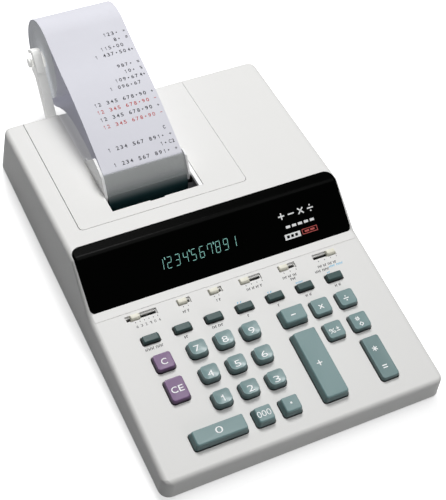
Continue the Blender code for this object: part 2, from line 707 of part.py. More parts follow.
def build_printer():
    frame = add_object("printer_frame",
                       box_bm(-82.6, 37.0, fy(180.0), fy(256.0), fz(3.6), fz(FRAME_TOP)), STEEL)
    pieces = []
    for x0, x1 in (LEFT_PLATE, RIGHT_PLATE):
        side = [(179.5, 5.0), (222.0, 5.0), (222.0, 37.0), (196.0, 38.0), (181.0, 38.0), (179.5, 36.0)]
        pieces.append(add_object("side_plate", prism_bm([(fy(y), fz(z)) for y, z in side], "X", x0, x1)))
    for x in SPOOL_X:
        post = cylinder_bm(2.0, 31.0, 12, "Z", (x, fy(SPOOL_Y), fz(20.5)))
        boss = cylinder_bm(4.0, 19.0, 12, "Z", (x, fy(SPOOL_Y), fz(14.5)))
        pieces += [add_object("spool_post", post), add_object("spool_boss", boss)]
    union(frame, pieces)
    for y, z in ((PLATEN_Y, PLATEN_Z), (DRUM_Y, DRUM_Z)):
        bore = cylinder_bm(SHAFT_R + RUN_GAP, 100.0, 16, "X", (-25.0, fy(y), fz(z)))
        boolean(frame, add_object("bearing", bore))
    freeze(frame)
    smooth(frame)

    centre = (LEFT_PLATE[1] + RIGHT_PLATE[0]) / 2
    half = (PAPER_X1 - PAPER_X0) / 2 + 0.2
    reach = (RIGHT_PLATE[1] - LEFT_PLATE[0]) / 2 + SHAFT_END
    for name, y, z, radius, look in (("platen_roller", PLATEN_Y, PLATEN_Z, PLATEN_R, RUBBER),
                                     ("print_drum", DRUM_Y, DRUM_Z, DRUM_R, GREY_PLASTIC)):
        profile = [(0, reach), (SHAFT_R, reach), (SHAFT_R, half), (radius, half),
                   (radius, -half), (SHAFT_R, -half), (SHAFT_R, -reach), (0, -reach)]
        smooth(turned(name, profile, 28, look, "X", (centre, fy(y), fz(z))))

    high, inside = SPOOL_H / 2, SPOOL_H / 2 - 1.0
    bore = SHAFT_R + RUN_GAP
    profile = [(bore, high), (SPOOL_R, high), (SPOOL_R, inside), (5.5, inside),
               (5.5, -inside), (SPOOL_R, -inside), (SPOOL_R, -high), (bore, -high)]
    for name, x in zip(("ribbon_spool_left", "ribbon_spool_right"), SPOOL_X):
        smooth(turned(name, profile, 24, GREY_PLASTIC, where=(x, fy(SPOOL_Y), fz(24.0 + GAP + high))))

    motor_y, motor_z = fy(236.0), fz(FRAME_TOP + GAP + MOTOR_R)
    motor = add_object("drive_motor", cylinder_bm(MOTOR_R, 22.0, 24, "X", (25.0, motor_y, motor_z)), STEEL)
    boss = add_object("motor_boss", cylinder_bm(3.2, 3.0, 16, "X", (12.9, motor_y, motor_z)))
    union(motor, [boss])
    smooth(motor)


def build_paper_guide():
    """White channel under the paper behind the exit, with a narrow strip along the exit's right side."""
    def level(y, drop):
        return rear_top(y) - drop

    y0, y1 = 226.0, CASE_DEPTH - 0.1
    floor = [(y0, level(y0, CHANNEL_DROP)), (y1, level(y1, CHANNEL_DROP)),
             (y1, level(y1, CHANNEL_DROP + CHANNEL_T)), (y0, level(y0, CHANNEL_DROP + CHANNEL_T))]
    x0, x1 = NOTCH_X0 + GAP, NOTCH_X1 - GAP
    guide = add_object("paper_guide", prism_bm([(fy(y), fz(z)) for y, z in floor], "X", x0, x1), WHITE)
    strip_y0 = NOTCH_Y + GAP + 0.1
    strip = [(strip_y0, level(strip_y0, 0.5)), (y1 - 2.4, level(y1 - 2.4, 0.5)),
             (y1 - 2.4, level(y1 - 2.4, CHANNEL_DROP + 0.8)),
             (strip_y0, level(strip_y0, CHANNEL_DROP + 0.8))]
    pieces = [add_object("strip", prism_bm([(fy(y), fz(z)) for y, z in strip], "X", x1 - 2.7, x1))]
    leg_top = level(y0, CHANNEL_DROP + 0.7)
    for a, b in ((x0, x0 + 1.8), (x1 - 1.8, x1)):
        pieces.append(add_object("leg", box_bm(a, b, fy(226.2), fy(252.0),
                                               fz(FRAME_TOP + GAP), fz(leg_top - 1.6))))
    front = [(237.0, 40.2), (222.6, 37.6), (210.0, 37.9), (199.0, 39.0), (198.6, 45.0), (206.2, 56.3)]
    tall = [(210.5, 58.4), (220.5, 60.6), (223.0, 59.5), (232.0, 47.6), (237.0, 45.8)]
    short = [(209.3, 57.1), (212.6, 56.6), (219.5, 49.0), (228.0, 45.6), (237.0, 45.2)]
    for (a, b), rear in ((CHEEK_LEFT, tall), (CHEEK_RIGHT, short)):
        pieces.append(add_object("cheek", prism_bm([(fy(y), fz(z)) for y, z in front + rear], "X", a, b)))
    union(guide, pieces)
    smooth(guide)


def build_tear_bar():
    """Bar of smoked plastic that the paper is torn against, between the cheeks of the paper guide."""
    direction = Vector((TEAR_Y - 200.3, TEAR_Z - 44.5)).normalized()
    across = Vector((-direction.y, direction.x))
    base = Vector((200.3, 44.5))
    tip = Vector((TEAR_Y, TEAR_Z)) + direction * 0.4
    inner, outer = 0.55, 1.75
    bar = [base + across * inner, tip + across * inner, tip + across * (inner + 0.35),
           tip - direction * 1.6 + across * outer, base + across * outer]
    add_object("tear_bar", prism_bm([(fy(p.x), fz(p.y)) for p in bar], "X",
                                    CHEEK_LEFT[1] + GAP, CHEEK_RIGHT[0] - GAP), SMOKE)


# ---------------------------------------------------------------- paper, roll and its holder

def arc(cy, cz, radius, start, end, steps):
    return [(cy + radius * math.cos(math.radians(start + (end - start) * i / steps)),
             cz + radius * math.sin(math.radians(start + (end - start) * i / steps))) for i in range(steps + 1)]


def smooth_path(points, steps):
    """Catmull-Rom curve through the points, with steps spans between each pair."""
    ends = [points[0]] + points + [points[-1]]
    result = []
    for a, b, c, d in zip(ends, ends[1:], ends[2:], ends[3:]):
        for i in range(steps):
            t = i / steps
            result.append(tuple(0.5 * (2 * b[k] + (c[k] - a[k]) * t
                                       + (2 * a[k] - 5 * b[k] + 4 * c[k] - d[k]) * t ** 2
                                       + (3 * b[k] - a[k] - 3 * c[k] + d[k]) * t ** 3) for k in (0, 1)))
    return result + [points[-1]]


def paper_path():
    """Centre line of the paper: from under the roll over the channel, round the platen, over the tear bar
    and back over the roll."""
    wrap = ROLL_R + TAPE_GAP + PAPER_T / 2
    feed = arc(ROLL_Y, ROLL_Z, wrap, -70, -104, 4)
    over_case = smooth_path([feed[-1], (302.5, 33.4), (290.6, 41.8), (279.0, 48.8), (266.0, 52.6),
                             (250.0, 54.0), (234.0, 53.2), (221.5, 46.5), (214.4, 38.4),
                             (PLATEN_Y + PLATEN_R + PLATEN_GAP, PLATEN_Z)], 3)
    under_platen = arc(PLATEN_Y, PLATEN_Z, PLATEN_R + PLATEN_GAP, 0, -180, 12)
    up = smooth_path([under_platen[-1], (197.2, 38.4), (200.3, 44.5), (204.6, 50.4), (TEAR_Y, TEAR_Z)], 3)
    back = arc(ROLL_Y, ROLL_Z, wrap, 106, -38, 18)
    rise = smooth_path([(TEAR_Y, TEAR_Z), (228.0, 63.0), (250.0, 70.0), (272.0, 75.4), (294.0, 79.4),
                        back[0]], 3)
    return feed[:-1] + over_case[:-1] + under_platen[:-1] + up[:-1] + rise[:-1] + back


def build_paper():
    bm = bmesh.new()
    rows = [[bm.verts.new((x, fy(y), fz(z))) for x in (PAPER_X0, PAPER_X1)] for y, z in paper_path()]
    for (a, b), (c, d) in zip(rows, rows[1:]):
        bm.faces.new((a, b, d, c))
    tape = add_object("paper_tape", bm, PAPER)
    shell = tape.modifiers.new("thickness", "SOLIDIFY")
    shell.thickness = PAPER_T * MM
    shell.offset = 0.0
    shell.use_even_offset = True
    smooth(tape)

    middle = (PAPER_X0 + PAPER_X1) / 2
    half = (PAPER_X1 - PAPER_X0) / 2 - 0.2
    roll = turned("paper_roll", [(CORE_R, half), (ROLL_R, half), (ROLL_R, -half), (CORE_R, -half)],
                  56, PAPER, "X", (middle, fy(ROLL_Y), fz(ROLL_Z)))
    smooth(roll)

    thick = half + 0.3
    right_end = ARM_RIGHT[1] - 0.2 - middle
    left_end = ARM_LEFT[0] - 0.3 - middle
    head_r, head_t = 3.4, 2.0
    spindle = turned("roll_spindle", [(0, right_end), (SPINDLE_R, right_end), (SPINDLE_R, thick),
                                      (CORE_R - RUN_GAP, thick), (CORE_R - RUN_GAP, -thick),
                                      (SPINDLE_R, -thick), (SPINDLE_R, left_end), (head_r, left_end),
                                      (head_r, left_end - head_t), (0, left_end - head_t)],
                     20, CREAM, "X", (middle, fy(ROLL_Y), fz(ROLL_Z)))
    smooth(spindle)


def build_arms():
    """Two arms that lean back from the rear wall and carry the spindle in hooks open to the rear."""
    lean = math.radians(49.5)
    foot = Vector((293.3, 33.0))
    along = Vector((math.cos(lean), math.sin(lean)))
    behind = Vector((math.sin(lean), -math.cos(lean)))

    def place(u, v):
        return foot + along * u + behind * v

    axis = Vector((ROLL_Y, ROLL_Z)) - foot
    u0, v0 = axis.dot(along), axis.dot(behind)
    seat = u0 - SPINDLE_R - GAP
    outline = [place(*uv) for uv in (
        (-4.5, 0.0), (u0 - 9.0, 0.0), (u0 - 8.0, -0.9), (u0 + 4.5, -0.9), (u0 + 8.0, 0.8),
        (u0 + 9.2, 3.6), (u0 + 9.2, v0 + 2.6), (u0 + 6.6, v0 + 3.2), (u0 + 6.6, v0 - 3.6), (u0 + 4.6, v0 - 5.0),
        (seat + 1.6, v0 - 5.0), (seat, v0 - 3.4), (seat, v0 + 4.4), (seat - 4.0, v0 + 4.4),
        (seat - 9.0, 9.0), (-1.0, 9.0))]
    inside = rear_wall(ARM_FOOT_Z1) - WALL - 2.2
    outline += [Vector((297.5, ARM_FOOT_Z1 + 1.0)), Vector((296.5, ARM_FOOT_Z0)),
                Vector((inside, ARM_FOOT_Z0)), Vector((inside, ARM_FOOT_Z1)),
                Vector((rear_wall(ARM_FOOT_Z1) + GAP + 0.05, ARM_FOOT_Z1))]
    for name, (x0, x1) in (("holder_arm_left", ARM_LEFT), ("holder_arm_right", ARM_RIGHT)):
        arm = add_object(name, prism_bm([(fy(p.x), fz(p.y)) for p in outline], "X", x0, x1), CREAM)
        smooth(arm, 25)


def build_inlet():
    """Mains inlet in the rear wall: a shell with a socket for a two-pole plug."""
    lip = 1.5
    face = rear_wall(INLET_Z - INLET_H / 2 - lip) + GAP
    body = add_object("mains_inlet", box_bm(INLET_X - INLET_W / 2, INLET_X + INLET_W / 2, fy(face - 15.0),
                                            fy(face + 0.4), fz(INLET_Z - INLET_H / 2),
                                            fz(INLET_Z + INLET_H / 2)), GREY_PLASTIC)
    rim = add_object("inlet_rim", box_bm(INLET_X - INLET_W / 2 - lip, INLET_X + INLET_W / 2 + lip,
                                         fy(face), fy(face + 1.6),
                                         fz(INLET_Z - INLET_H / 2 - lip), fz(INLET_Z + INLET_H / 2 + lip)))
    union(body, [rim])
    socket = rounded_outline(INLET_X - 8.4, INLET_X + 8.4, INLET_Z - 3.9, INLET_Z + 3.9, 3.6, 3.6, 4)
    bm = prism_bm(socket, "Z", 0.0, 12.0)
    bmesh.ops.rotate(bm, cent=(0, 0, 0), matrix=Matrix.Rotation(math.pi / 2, 3, "X"), verts=bm.verts)
    bmesh.ops.translate(bm, vec=(0, fy(face + 2.4), FOOT_H), verts=bm.verts)
    boolean(body, add_object("socket", bm))
    freeze(body)
    smooth(body)


clear_scene()
PARTS = new_collection("desk_calculator")
CUTTERS = new_collection("cutters")
build_case()
build_bottom()
build_keys()
build_slides()
build_electronics()
build_printer()
build_paper_guide()
build_tear_bar()
build_paper()
build_arms()
build_inlet()
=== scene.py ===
"""Looks for the printing desk calculator: finished surfaces over the CAD model, which is the frame.

Lengths are millimetres in the CAD's own frame (+Z up, +Y towards the paper roll), scaled once by MM.
"""

import json
import math
import random

import bmesh
import bpy
from mathutils import Matrix, Vector

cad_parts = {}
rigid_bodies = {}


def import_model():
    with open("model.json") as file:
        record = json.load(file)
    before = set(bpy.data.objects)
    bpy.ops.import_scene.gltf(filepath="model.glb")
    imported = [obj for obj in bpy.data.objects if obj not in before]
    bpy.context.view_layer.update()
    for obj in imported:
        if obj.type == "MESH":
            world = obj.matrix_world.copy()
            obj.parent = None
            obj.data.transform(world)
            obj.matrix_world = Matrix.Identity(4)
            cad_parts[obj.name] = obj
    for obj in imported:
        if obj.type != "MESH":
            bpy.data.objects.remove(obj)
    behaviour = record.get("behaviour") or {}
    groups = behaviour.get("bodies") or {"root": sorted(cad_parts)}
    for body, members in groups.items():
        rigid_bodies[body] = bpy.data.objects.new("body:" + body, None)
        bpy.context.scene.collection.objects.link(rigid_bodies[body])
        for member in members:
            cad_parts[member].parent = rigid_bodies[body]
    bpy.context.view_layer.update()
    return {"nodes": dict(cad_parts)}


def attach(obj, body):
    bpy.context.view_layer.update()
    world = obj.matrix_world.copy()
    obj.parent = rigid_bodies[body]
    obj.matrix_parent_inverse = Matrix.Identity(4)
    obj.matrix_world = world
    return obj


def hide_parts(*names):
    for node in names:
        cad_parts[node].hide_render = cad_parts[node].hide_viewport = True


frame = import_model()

MM = 0.001
NODES = frame["nodes"]

# ---------------------------------------------------------------- dimensions, as in the CAD

FRONT_EDGE_Y = -177.4
FOOT_H = 3.0
GAP = 0.3
CASE_WIDTH = 200.0
SIDE_DRAFT = 0.046
REAR_DRAFT = 0.14
FRONT_H = 16.9
DECK_END = 119.6
BAND_END = 125.6
CREST_Y = 155.9
CREST_H = 48.6
CASE_DEPTH = 288.7
REAR_H = 39.3
DECK_TILT = math.radians(4.54)
BAND_RISE = 0.3
PANEL_Z0 = FRONT_H + DECK_END * math.tan(DECK_TILT) + BAND_RISE
PANEL_TILT = math.atan2(CREST_H - PANEL_Z0, CREST_Y - BAND_END)
CORNER_R = 7.0
EDGE_R = 3.5
CREST_R = 2.1
WALL = 2.6
REAR_WALL_T = 4.4
PANEL_WALL_T = 4.6
WINDOW_T = 2.0
COVER_T = 2.4
WINDOW_HALF = 96.0
WINDOW_FRONT = 126.0
WINDOW_REAR = 164.9
COVER_X0, COVER_X1, COVER_Y0, COVER_R = -83.2, 38.4, 177.9, 3.0
NOTCH_X0, NOTCH_X1, NOTCH_Y = -57.3, 9.4, 185.6
COVER_GAP = 0.5
LEDGE = 3.0
CHANNEL_DROP, CHANNEL_T = 2.4, 1.4
ARM_LEFT, ARM_RIGHT = (-62.5, -56.2), (4.3, 8.3)
ARM_FOOT_Z0, ARM_FOOT_Z1 = 12.0, 22.0
INLET_X, INLET_Z, INLET_W, INLET_H = 66.0, 17.0, 21.0, 11.0
PAPER_X0, PAPER_X1 = -54.4, 3.6
ROLL_Y, ROLL_Z, ROLL_R, CORE_R = 325.3, 57.5, 28.5, 6.2
PAPER_T, TAPE_GAP, PLATEN_GAP = 0.25, 0.35, 0.6
SHEET_T = 0.14              # the tape as it is shown, thinner than the CAD solid
TEAR_Y, TEAR_Z = 209.3, 56.2
PLATEN_Y, PLATEN_Z, PLATEN_R = 204.0, 32.0, 7.0
WINDOW_R_FRONT, WINDOW_R_REAR = 3.0, 6.5
OPENING_X0, OPENING_X1, OPENING_Y0, OPENING_Y1 = -66, 36, 130, 150   # under the window, for the display
FINGER_X0, FINGER_X1, FINGER_DEPTH = -30.2, -19.6, 0.8               # thumb notch in the cover
CREASE_S0, CREASE_S1, CREASE_DEPTH = 119.1, 119.4, 0.3               # line between deck and window slope
KEY_SKIRT = 4.0
KEY_HOLE_GAP = 0.5
COLUMN_X = (-43.0, -24.1, -5.2)
ROW_S = (77.7, 58.9, 40.1)
DIGIT_W, DIGIT_D, DIGIT_H = 12.8, 11.4, 5.3
KEYS = [
    ("key_c", -73.2, -60.2, 71.0, 83.4, 3.6, "low", "purple"),
    ("key_ce", -73.2, -60.2, 47.8, 64.8, 3.6, "low", "purple"),
    ("key_0", -73.1, -36.3, 13.8, 25.9, 5.3, "wide", "teal"),
    ("key_000", -30.4, -17.5, 13.8, 25.9, 5.3, "wide", "teal"),
    ("key_point", -11.5, 1.4, 13.8, 25.9, 5.3, "wide", "teal"),
    ("key_plus", 16.8, 34.6, 13.6, 64.9, 5.3, "wide", "teal"),
    ("key_minus", 16.8, 34.6, 71.4, 84.0, 5.3, "wide", "teal"),
    ("key_times", 40.0, 53.2, 71.2, 83.6, 3.8, "low", "teal"),
    ("key_divide", 59.2, 72.2, 71.2, 83.6, 3.8, "low", "teal"),
    ("key_percent", 40.2, 53.2, 52.0, 64.8, 3.8, "low", "teal"),
    ("key_subtotal", 59.2, 72.2, 52.0, 64.8, 3.8, "low", "teal"),
    ("key_total", 59.2, 72.2, 13.8, 46.0, 3.2, "low", "teal"),
]
FUNCTION_X0, FUNCTION_PITCH = -67.7, 22.35
FUNCTION_S, FUNCTION_W, FUNCTION_D, FUNCTION_H = 95.9, 12.2, 5.8, 3.0
SLIDES = [(-77.3, -55.2, -70.7), (-41.0, -31.2, -37.3), (-18.3, -8.4, -14.5),
          (4.4, 20.4, 8.1), (33.5, 46.4, 37.2), (59.8, 77.2, 73.4)]
SLOT_S0, SLOT_S1, SLOT_DEPTH = 112.3, 117.0, 1.3
KNOB_W, KNOB_H = 6.6, 1.9
STEM_W, STEM_D, RUN_GAP = 3.0, 1.4, 0.4

SCRAP = bpy.data.collections.new("cutters")
bpy.context.scene.collection.children.link(SCRAP)


# ---------------------------------------------------------------- materials

def principled(name):
    made = bpy.data.materials.new(name)
    made.use_nodes = True
    return made, made.node_tree, made.node_tree.nodes["Principled BSDF"]


def add_node(tree, kind, **inputs):
    node = tree.nodes.new(kind)
    for key, value in inputs.items():
        node.inputs[key.replace("_", " ")].default_value = value
    return node


def object_noise(tree, scale, detail, stretch=None, **more):
    """Noise that sits still on the object; stretch scales it along each axis."""
    place = tree.nodes.new("ShaderNodeTexCoord").outputs["Object"]
    if stretch:
        mapping = add_node(tree, "ShaderNodeMapping", Scale=stretch)
        tree.links.new(place, mapping.inputs["Vector"])
        place = mapping.outputs["Vector"]
    noise = add_node(tree, "ShaderNodeTexNoise", Scale=scale, Detail=detail, **more)
    tree.links.new(place, noise.inputs["Vector"])
    return noise.outputs["Fac"]


def blend(tree, share, low, high):
    mix = tree.nodes.new("ShaderNodeMix")
    mix.data_type = "RGBA"
    mix.inputs[6].default_value = (*low, 1)
    mix.inputs[7].default_value = (*high, 1)
    tree.links.new(share, mix.inputs["Factor"])
    return mix.outputs[2]


def times(colour, factor):
    return [min(1.0, c * factor) for c in colour]


def vary_roughness(tree, shader, share, low, high):
    spread = add_node(tree, "ShaderNodeMapRange", To_Min=low, To_Max=high)
    tree.links.new(share, spread.inputs["Value"])
    tree.links.new(spread.outputs["Result"], shader.inputs["Roughness"])


def add_relief(tree, shader, height, strength, distance):
    bump = add_node(tree, "ShaderNodeBump", Strength=strength, Distance=distance)
    tree.links.new(height, bump.inputs["Height"])
    tree.links.new(bump.outputs["Normal"], shader.inputs["Normal"])


def paint(tree, shader, share, low, high, glow=0.0):
    """Base colour from low to high as share goes from 0 to 1, and a faint glow of that colour if asked."""
    tint = blend(tree, share, low, high)
    tree.links.new(tint, shader.inputs["Base Color"])
    if glow:
        tree.links.new(tint, shader.inputs["Emission Color"])
        shader.inputs["Emission Strength"].default_value = glow


def plastic(name, colour, rough=0.45, vary=0.03, grain=1800.0, bump=0.08, specular=0.5, glow=0.0):
    """Moulded plastic: a fine spark-eroded grain, faint drifts of colour and an uneven sheen."""
    made, tree, shader = principled(name)
    drift = object_noise(tree, 26.0, 3.0)
    fine = object_noise(tree, grain, 2.0)
    paint(tree, shader, drift, times(colour, 1 - vary), times(colour, 1 + vary), glow)
    vary_roughness(tree, shader, fine, rough - 0.05, rough + 0.07)
    add_relief(tree, shader, fine, bump, 0.00004)
    shader.inputs["Specular IOR Level"].default_value = specular
    return made


def painted_shade_key_plastic(name, colour, height, specular=0.5):
    """Key plastic with painted shade: darker down its sides and darkest where the skirt passes into the deck,
    where shade falls into the gap round the key.
    """
    made = plastic(name, colour, rough=0.34, vary=0.05, grain=3000.0, bump=0.16, specular=specular)
    tree = made.node_tree
    shader = tree.nodes["Principled BSDF"]
    lit = shader.inputs["Base Color"].links[0].from_socket
    place = tree.nodes.new("ShaderNodeTexCoord")
    above = tree.nodes.new("ShaderNodeVectorMath")
    above.operation = "DOT_PRODUCT"
    above.inputs[1].default_value = (0.0, -math.sin(DECK_TILT), math.cos(DECK_TILT))
    tree.links.new(place.outputs["Object"], above.inputs[0])
    origin = -math.sin(DECK_TILT) * FRONT_EDGE_Y + math.cos(DECK_TILT) * (FOOT_H + FRONT_H)
    share = add_node(tree, "ShaderNodeMapRange", From_Min=origin * MM, From_Max=(origin + height) * MM)
    tree.links.new(above.outputs["Value"], share.inputs["Value"])
    # Painted shade: a grey ramp over the height above the deck, multiplied into the key's colour.
    shade_ramp = tree.nodes.new("ShaderNodeValToRGB")
    shade_stops = ((0.5 / height, 0.08), (1.2 / height, 0.55), (1 - 1.0 / height, 0.74), (1 - 0.35 / height, 1.0))
    while len(shade_ramp.color_ramp.elements) < len(shade_stops):
        shade_ramp.color_ramp.elements.new(0.5)
    for element, (position, value) in zip(shade_ramp.color_ramp.elements, shade_stops):
        element.position = position
        element.color = (value, value, value, 1)
    tree.links.new(share.outputs["Result"], shade_ramp.inputs["Fac"])
    shaded = tree.nodes.new("ShaderNodeMix")
    shaded.data_type = "RGBA"
    shaded.blend_type = "MULTIPLY"
    shaded.inputs["Factor"].default_value = 1.0
    tree.links.new(lit, shaded.inputs[6])
    tree.links.new(shade_ramp.outputs["Color"], shaded.inputs[7])
    tree.links.new(shaded.outputs[2], shader.inputs["Base Color"])
    return made


def paper_finish(name, colour, glow=0.0):
    """Uncoated paper: cloudy fibres in colour and relief, and a painted glow of its own colour when glow is
    given, which brightens it where it lies in shade.
    """
    made, tree, shader = principled(name)
    cloud = object_noise(tree, 70.0, 4.0, Roughness=0.6)
    fibre = object_noise(tree, 900.0, 3.0)
    paint(tree, shader, cloud, times(colour, 0.97), times(colour, 1.02), glow)
    add_relief(tree, shader, fibre, 0.12, 0.00003)
    shader.inputs["Roughness"].default_value = 0.85
    shader.inputs["Specular IOR Level"].default_value = 0.2
    return made


def paper_with_painted_shade(name, high, low, z_high, z_low):
    """Paper down in the printer's throat, with painted shade: its colour falls away with height to a dark
    teal, standing in for the shade of the printer's opening.
    """
    made = paper_finish(name, high)
    tree = made.node_tree
    shader = tree.nodes["Principled BSDF"]
    lit = shader.inputs["Base Color"].links[0].from_socket
    place = tree.nodes.new("ShaderNodeTexCoord")
    split = tree.nodes.new("ShaderNodeSeparateXYZ")
    tree.links.new(place.outputs["Object"], split.inputs[0])
    shade_ramp = add_node(tree, "ShaderNodeMapRange",
                    From_Min=(FOOT_H + z_low) * MM, From_Max=(FOOT_H + z_high) * MM)
    shade_ramp.interpolation_type = "SMOOTHSTEP"
    tree.links.new(split.outputs["Z"], shade_ramp.inputs["Value"])
    tint = blend(tree, shade_ramp.outputs["Result"], low, high)
    tree.links.new(lit, tint.node.inputs[7])
    tree.links.new(tint, shader.inputs["Base Color"])
    return made


def roll_end_finish(name, colour):
    """The roll's end: hundreds of thin turns seen edge on, as rings of uneven lightness and height, with a
    painted glow that brightens its shaded face.
    """
    made, tree, shader = principled(name)
    place = tree.nodes.new("ShaderNodeTexCoord").outputs["Object"]
    steps = (("SUBTRACT", (0.0, (FRONT_EDGE_Y + ROLL_Y) * MM, (FOOT_H + ROLL_Z) * MM)),
             ("MULTIPLY", (0.0, 1.0, 1.0)), ("LENGTH", None))
    for operation, by in steps:
        step = tree.nodes.new("ShaderNodeVectorMath")
        step.operation = operation
        if by:
            step.inputs[1].default_value = by
        tree.links.new(place, step.inputs[0])
        place = step.outputs["Value" if operation == "LENGTH" else 0]
    noise = add_node(tree, "ShaderNodeTexNoise", Scale=1600.0, Detail=3.0)
    noise.noise_dimensions = "1D"
    tree.links.new(place, noise.inputs["W"])
    rings = noise.outputs["Fac"]
    # Painted light: a glow of 0.17 lifts the end face, which the lamps leave in shade.
    paint(tree, shader, rings, times(colour, 0.72), colour, 0.17)
    add_relief(tree, shader, rings, 0.5, 0.0001)
    shader.inputs["Roughness"].default_value = 0.7
    return made


def gloss_black(name):
    """Polished black window, with faint smears in its gloss."""
    made, tree, shader = principled(name)
    smear = object_noise(tree, 18.0, 5.0)
    vary_roughness(tree, shader, smear, 0.20, 0.27)
    paint(tree, shader, smear, (0.0006, 0.0007, 0.0006), (0.0012, 0.0014, 0.0012))
    shader.inputs["Specular IOR Level"].default_value = 0.02
    return made


def smoked(name):
    """Smoked clear plastic in front of the paper."""
    made, tree, shader = principled(name)
    paint(tree, shader, object_noise(tree, 60.0, 3.0), (0.30, 0.33, 0.33), (0.34, 0.37, 0.37))
    shader.inputs["Roughness"].default_value = 0.22
    shader.inputs["Alpha"].default_value = 0.22
    return made


def ink(name, colour, rough=0.6, glow=0.0):
    """Printed mark: slightly uneven coverage."""
    made, tree, shader = principled(name)
    dense = [min(1.0, c * 1.12 + 0.01) for c in colour]
    paint(tree, shader, object_noise(tree, 2200.0, 2.0), colour, dense, glow)
    shader.inputs["Roughness"].default_value = rough
    return made


def metal(name, colour):
    """Rolled steel with fine lengthwise brushing."""
    made, tree, shader = principled(name)
    brushing = object_noise(tree, 1.0, 4.0, stretch=(40.0, 900.0, 900.0))
    paint(tree, shader, brushing, times(colour, 0.85), colour)
    vary_roughness(tree, shader, brushing, 0.27, 0.45)
    shader.inputs["Metallic"].default_value = 1.0
    return made


CASE_WHITE = plastic("case_white", (0.775, 0.77, 0.755), rough=0.5, vary=0.012, grain=1500.0, bump=0.10)
KNOB_CREAM = plastic("knob_cream", (0.80, 0.78, 0.66), rough=0.4, vary=0.02, grain=2600.0)
# Each key height has its own copy of the key plastic, so that its painted shade fits the key.
TEAL = painted_shade_key_plastic("key_teal", (0.158, 0.265, 0.268), 4.7, specular=0.6)
TEAL_WIDE = painted_shade_key_plastic("key_teal_wide", (0.158, 0.265, 0.268), 5.3)
TEAL_LOW = painted_shade_key_plastic("key_teal_low", (0.158, 0.265, 0.268), 3.8)
DARK_TEAL = painted_shade_key_plastic("key_dark_teal", (0.034, 0.078, 0.076), 3.0, specular=0.3)
PURPLE = painted_shade_key_plastic("key_purple", (0.185, 0.095, 0.222), 3.6, specular=0.35)
# Painted light: the holder arms and spindle glow faintly, to look brighter than the lamps make them.
ARM_WHITE = plastic("arm_white", (0.88, 0.88, 0.86), rough=0.42, vary=0.015, grain=2200.0, glow=0.24)
# Painted light: the paper guide glows faintly, to brighten the channel beside the tape.
GUIDE_WHITE = plastic("guide_white", (0.82, 0.82, 0.82), rough=0.5, vary=0.015, grain=2200.0, glow=0.12)
BLACK = gloss_black("window_black")
SMOKED = smoked("smoked_plastic")
# Painted light: the paper glows faintly, to brighten its shaded parts on the tape and the roll.
PAPER = paper_finish("paper", (0.66, 0.66, 0.715), glow=0.13)
SHADED_PAPER = paper_with_painted_shade("paper_in_printer_painted_shade", (0.80, 0.80, 0.80), (0.02, 0.07, 0.078), 52.0, 38.0)
ROLL_END = roll_end_finish("paper_roll_end", (0.80, 0.82, 0.86))
RUBBER = plastic("rubber", (0.025, 0.025, 0.027), rough=0.8, vary=0.15, bump=0.25, specular=0.3)
DARK_PLASTIC = plastic("dark_plastic", (0.035, 0.037, 0.040), rough=0.5, vary=0.1)
STEEL = metal("sheet_steel", (0.50, 0.51, 0.52))
BOARD = plastic("circuit_board", (0.02, 0.10, 0.05), rough=0.35, vary=0.2, grain=700.0)
TUBE_GLASS = plastic("tube_glass", (0.06, 0.16, 0.14), rough=0.12, vary=0.1, grain=900.0, bump=0.02)
WHITE_INK = ink("legend_white", (0.93, 0.95, 0.95))
GREY_INK = ink("legend_grey", (0.020, 0.020, 0.022))
BLUE_INK = ink("legend_blue", (0.16, 0.50, 0.72))
BLACK_PRINT = ink("print_black", (0.030, 0.030, 0.040), rough=0.8)
RED_PRINT = ink("print_red", (0.50, 0.085, 0.080), rough=0.8)
DISPLAY_GLOW = ink("display_glow", (0.24, 0.54, 0.48), rough=0.5, glow=0.5)
BADGE_WHITE = ink("badge_white", (0.85, 0.86, 0.86))
BADGE_RED = ink("badge_red", (0.52, 0.09, 0.08))


# ---------------------------------------------------------------- helpers

def fy(distance):
    return FRONT_EDGE_Y + distance


def fz(height):
    return FOOT_H + height


def half_width(height):
    return CASE_WIDTH / 2 - SIDE_DRAFT * height


def rear_wall(z):
    return CASE_DEPTH + REAR_DRAFT * (REAR_H - z)


def rear_top(y):
    return CREST_H + (REAR_H - CREST_H) * (y - CREST_Y) / (CASE_DEPTH - CREST_Y)


def add_object(name, bm, finish=None):
    """An object from bm in millimetres; without a finish it is a cutter."""
    bmesh.ops.recalc_face_normals(bm, faces=bm.faces)
    bmesh.ops.scale(bm, vec=(MM, MM, MM), verts=bm.verts)
    mesh = bpy.data.meshes.new(name)
    bm.to_mesh(mesh)
    bm.free()
    obj = bpy.data.objects.new(name, mesh)
    if finish is None:
        SCRAP.objects.link(obj)
        obj.hide_render = True
    else:
        bpy.context.scene.collection.objects.link(obj)
        mesh.materials.append(finish)
    return obj


def freeze(obj):
    """Applies the modifiers and the object's own transform to its mesh."""
    bpy.context.view_layer.update()
    graph = bpy.context.evaluated_depsgraph_get()
    mesh = bpy.data.meshes.new_from_object(obj.evaluated_get(graph))
    mesh.transform(obj.matrix_world)
    obj.modifiers.clear()
    obj.data = mesh
    obj.matrix_world = Matrix.Identity(4)
    return obj


def boolean(obj, other, operation="DIFFERENCE"):
    mod = obj.modifiers.new(operation.lower(), "BOOLEAN")
    mod.operation = operation
    mod.solver = "EXACT"
    mod.object = other


def smooth(obj, angle):
    obj.data.shade_smooth()
    obj.data.set_sharp_from_angle(angle=math.radians(angle))


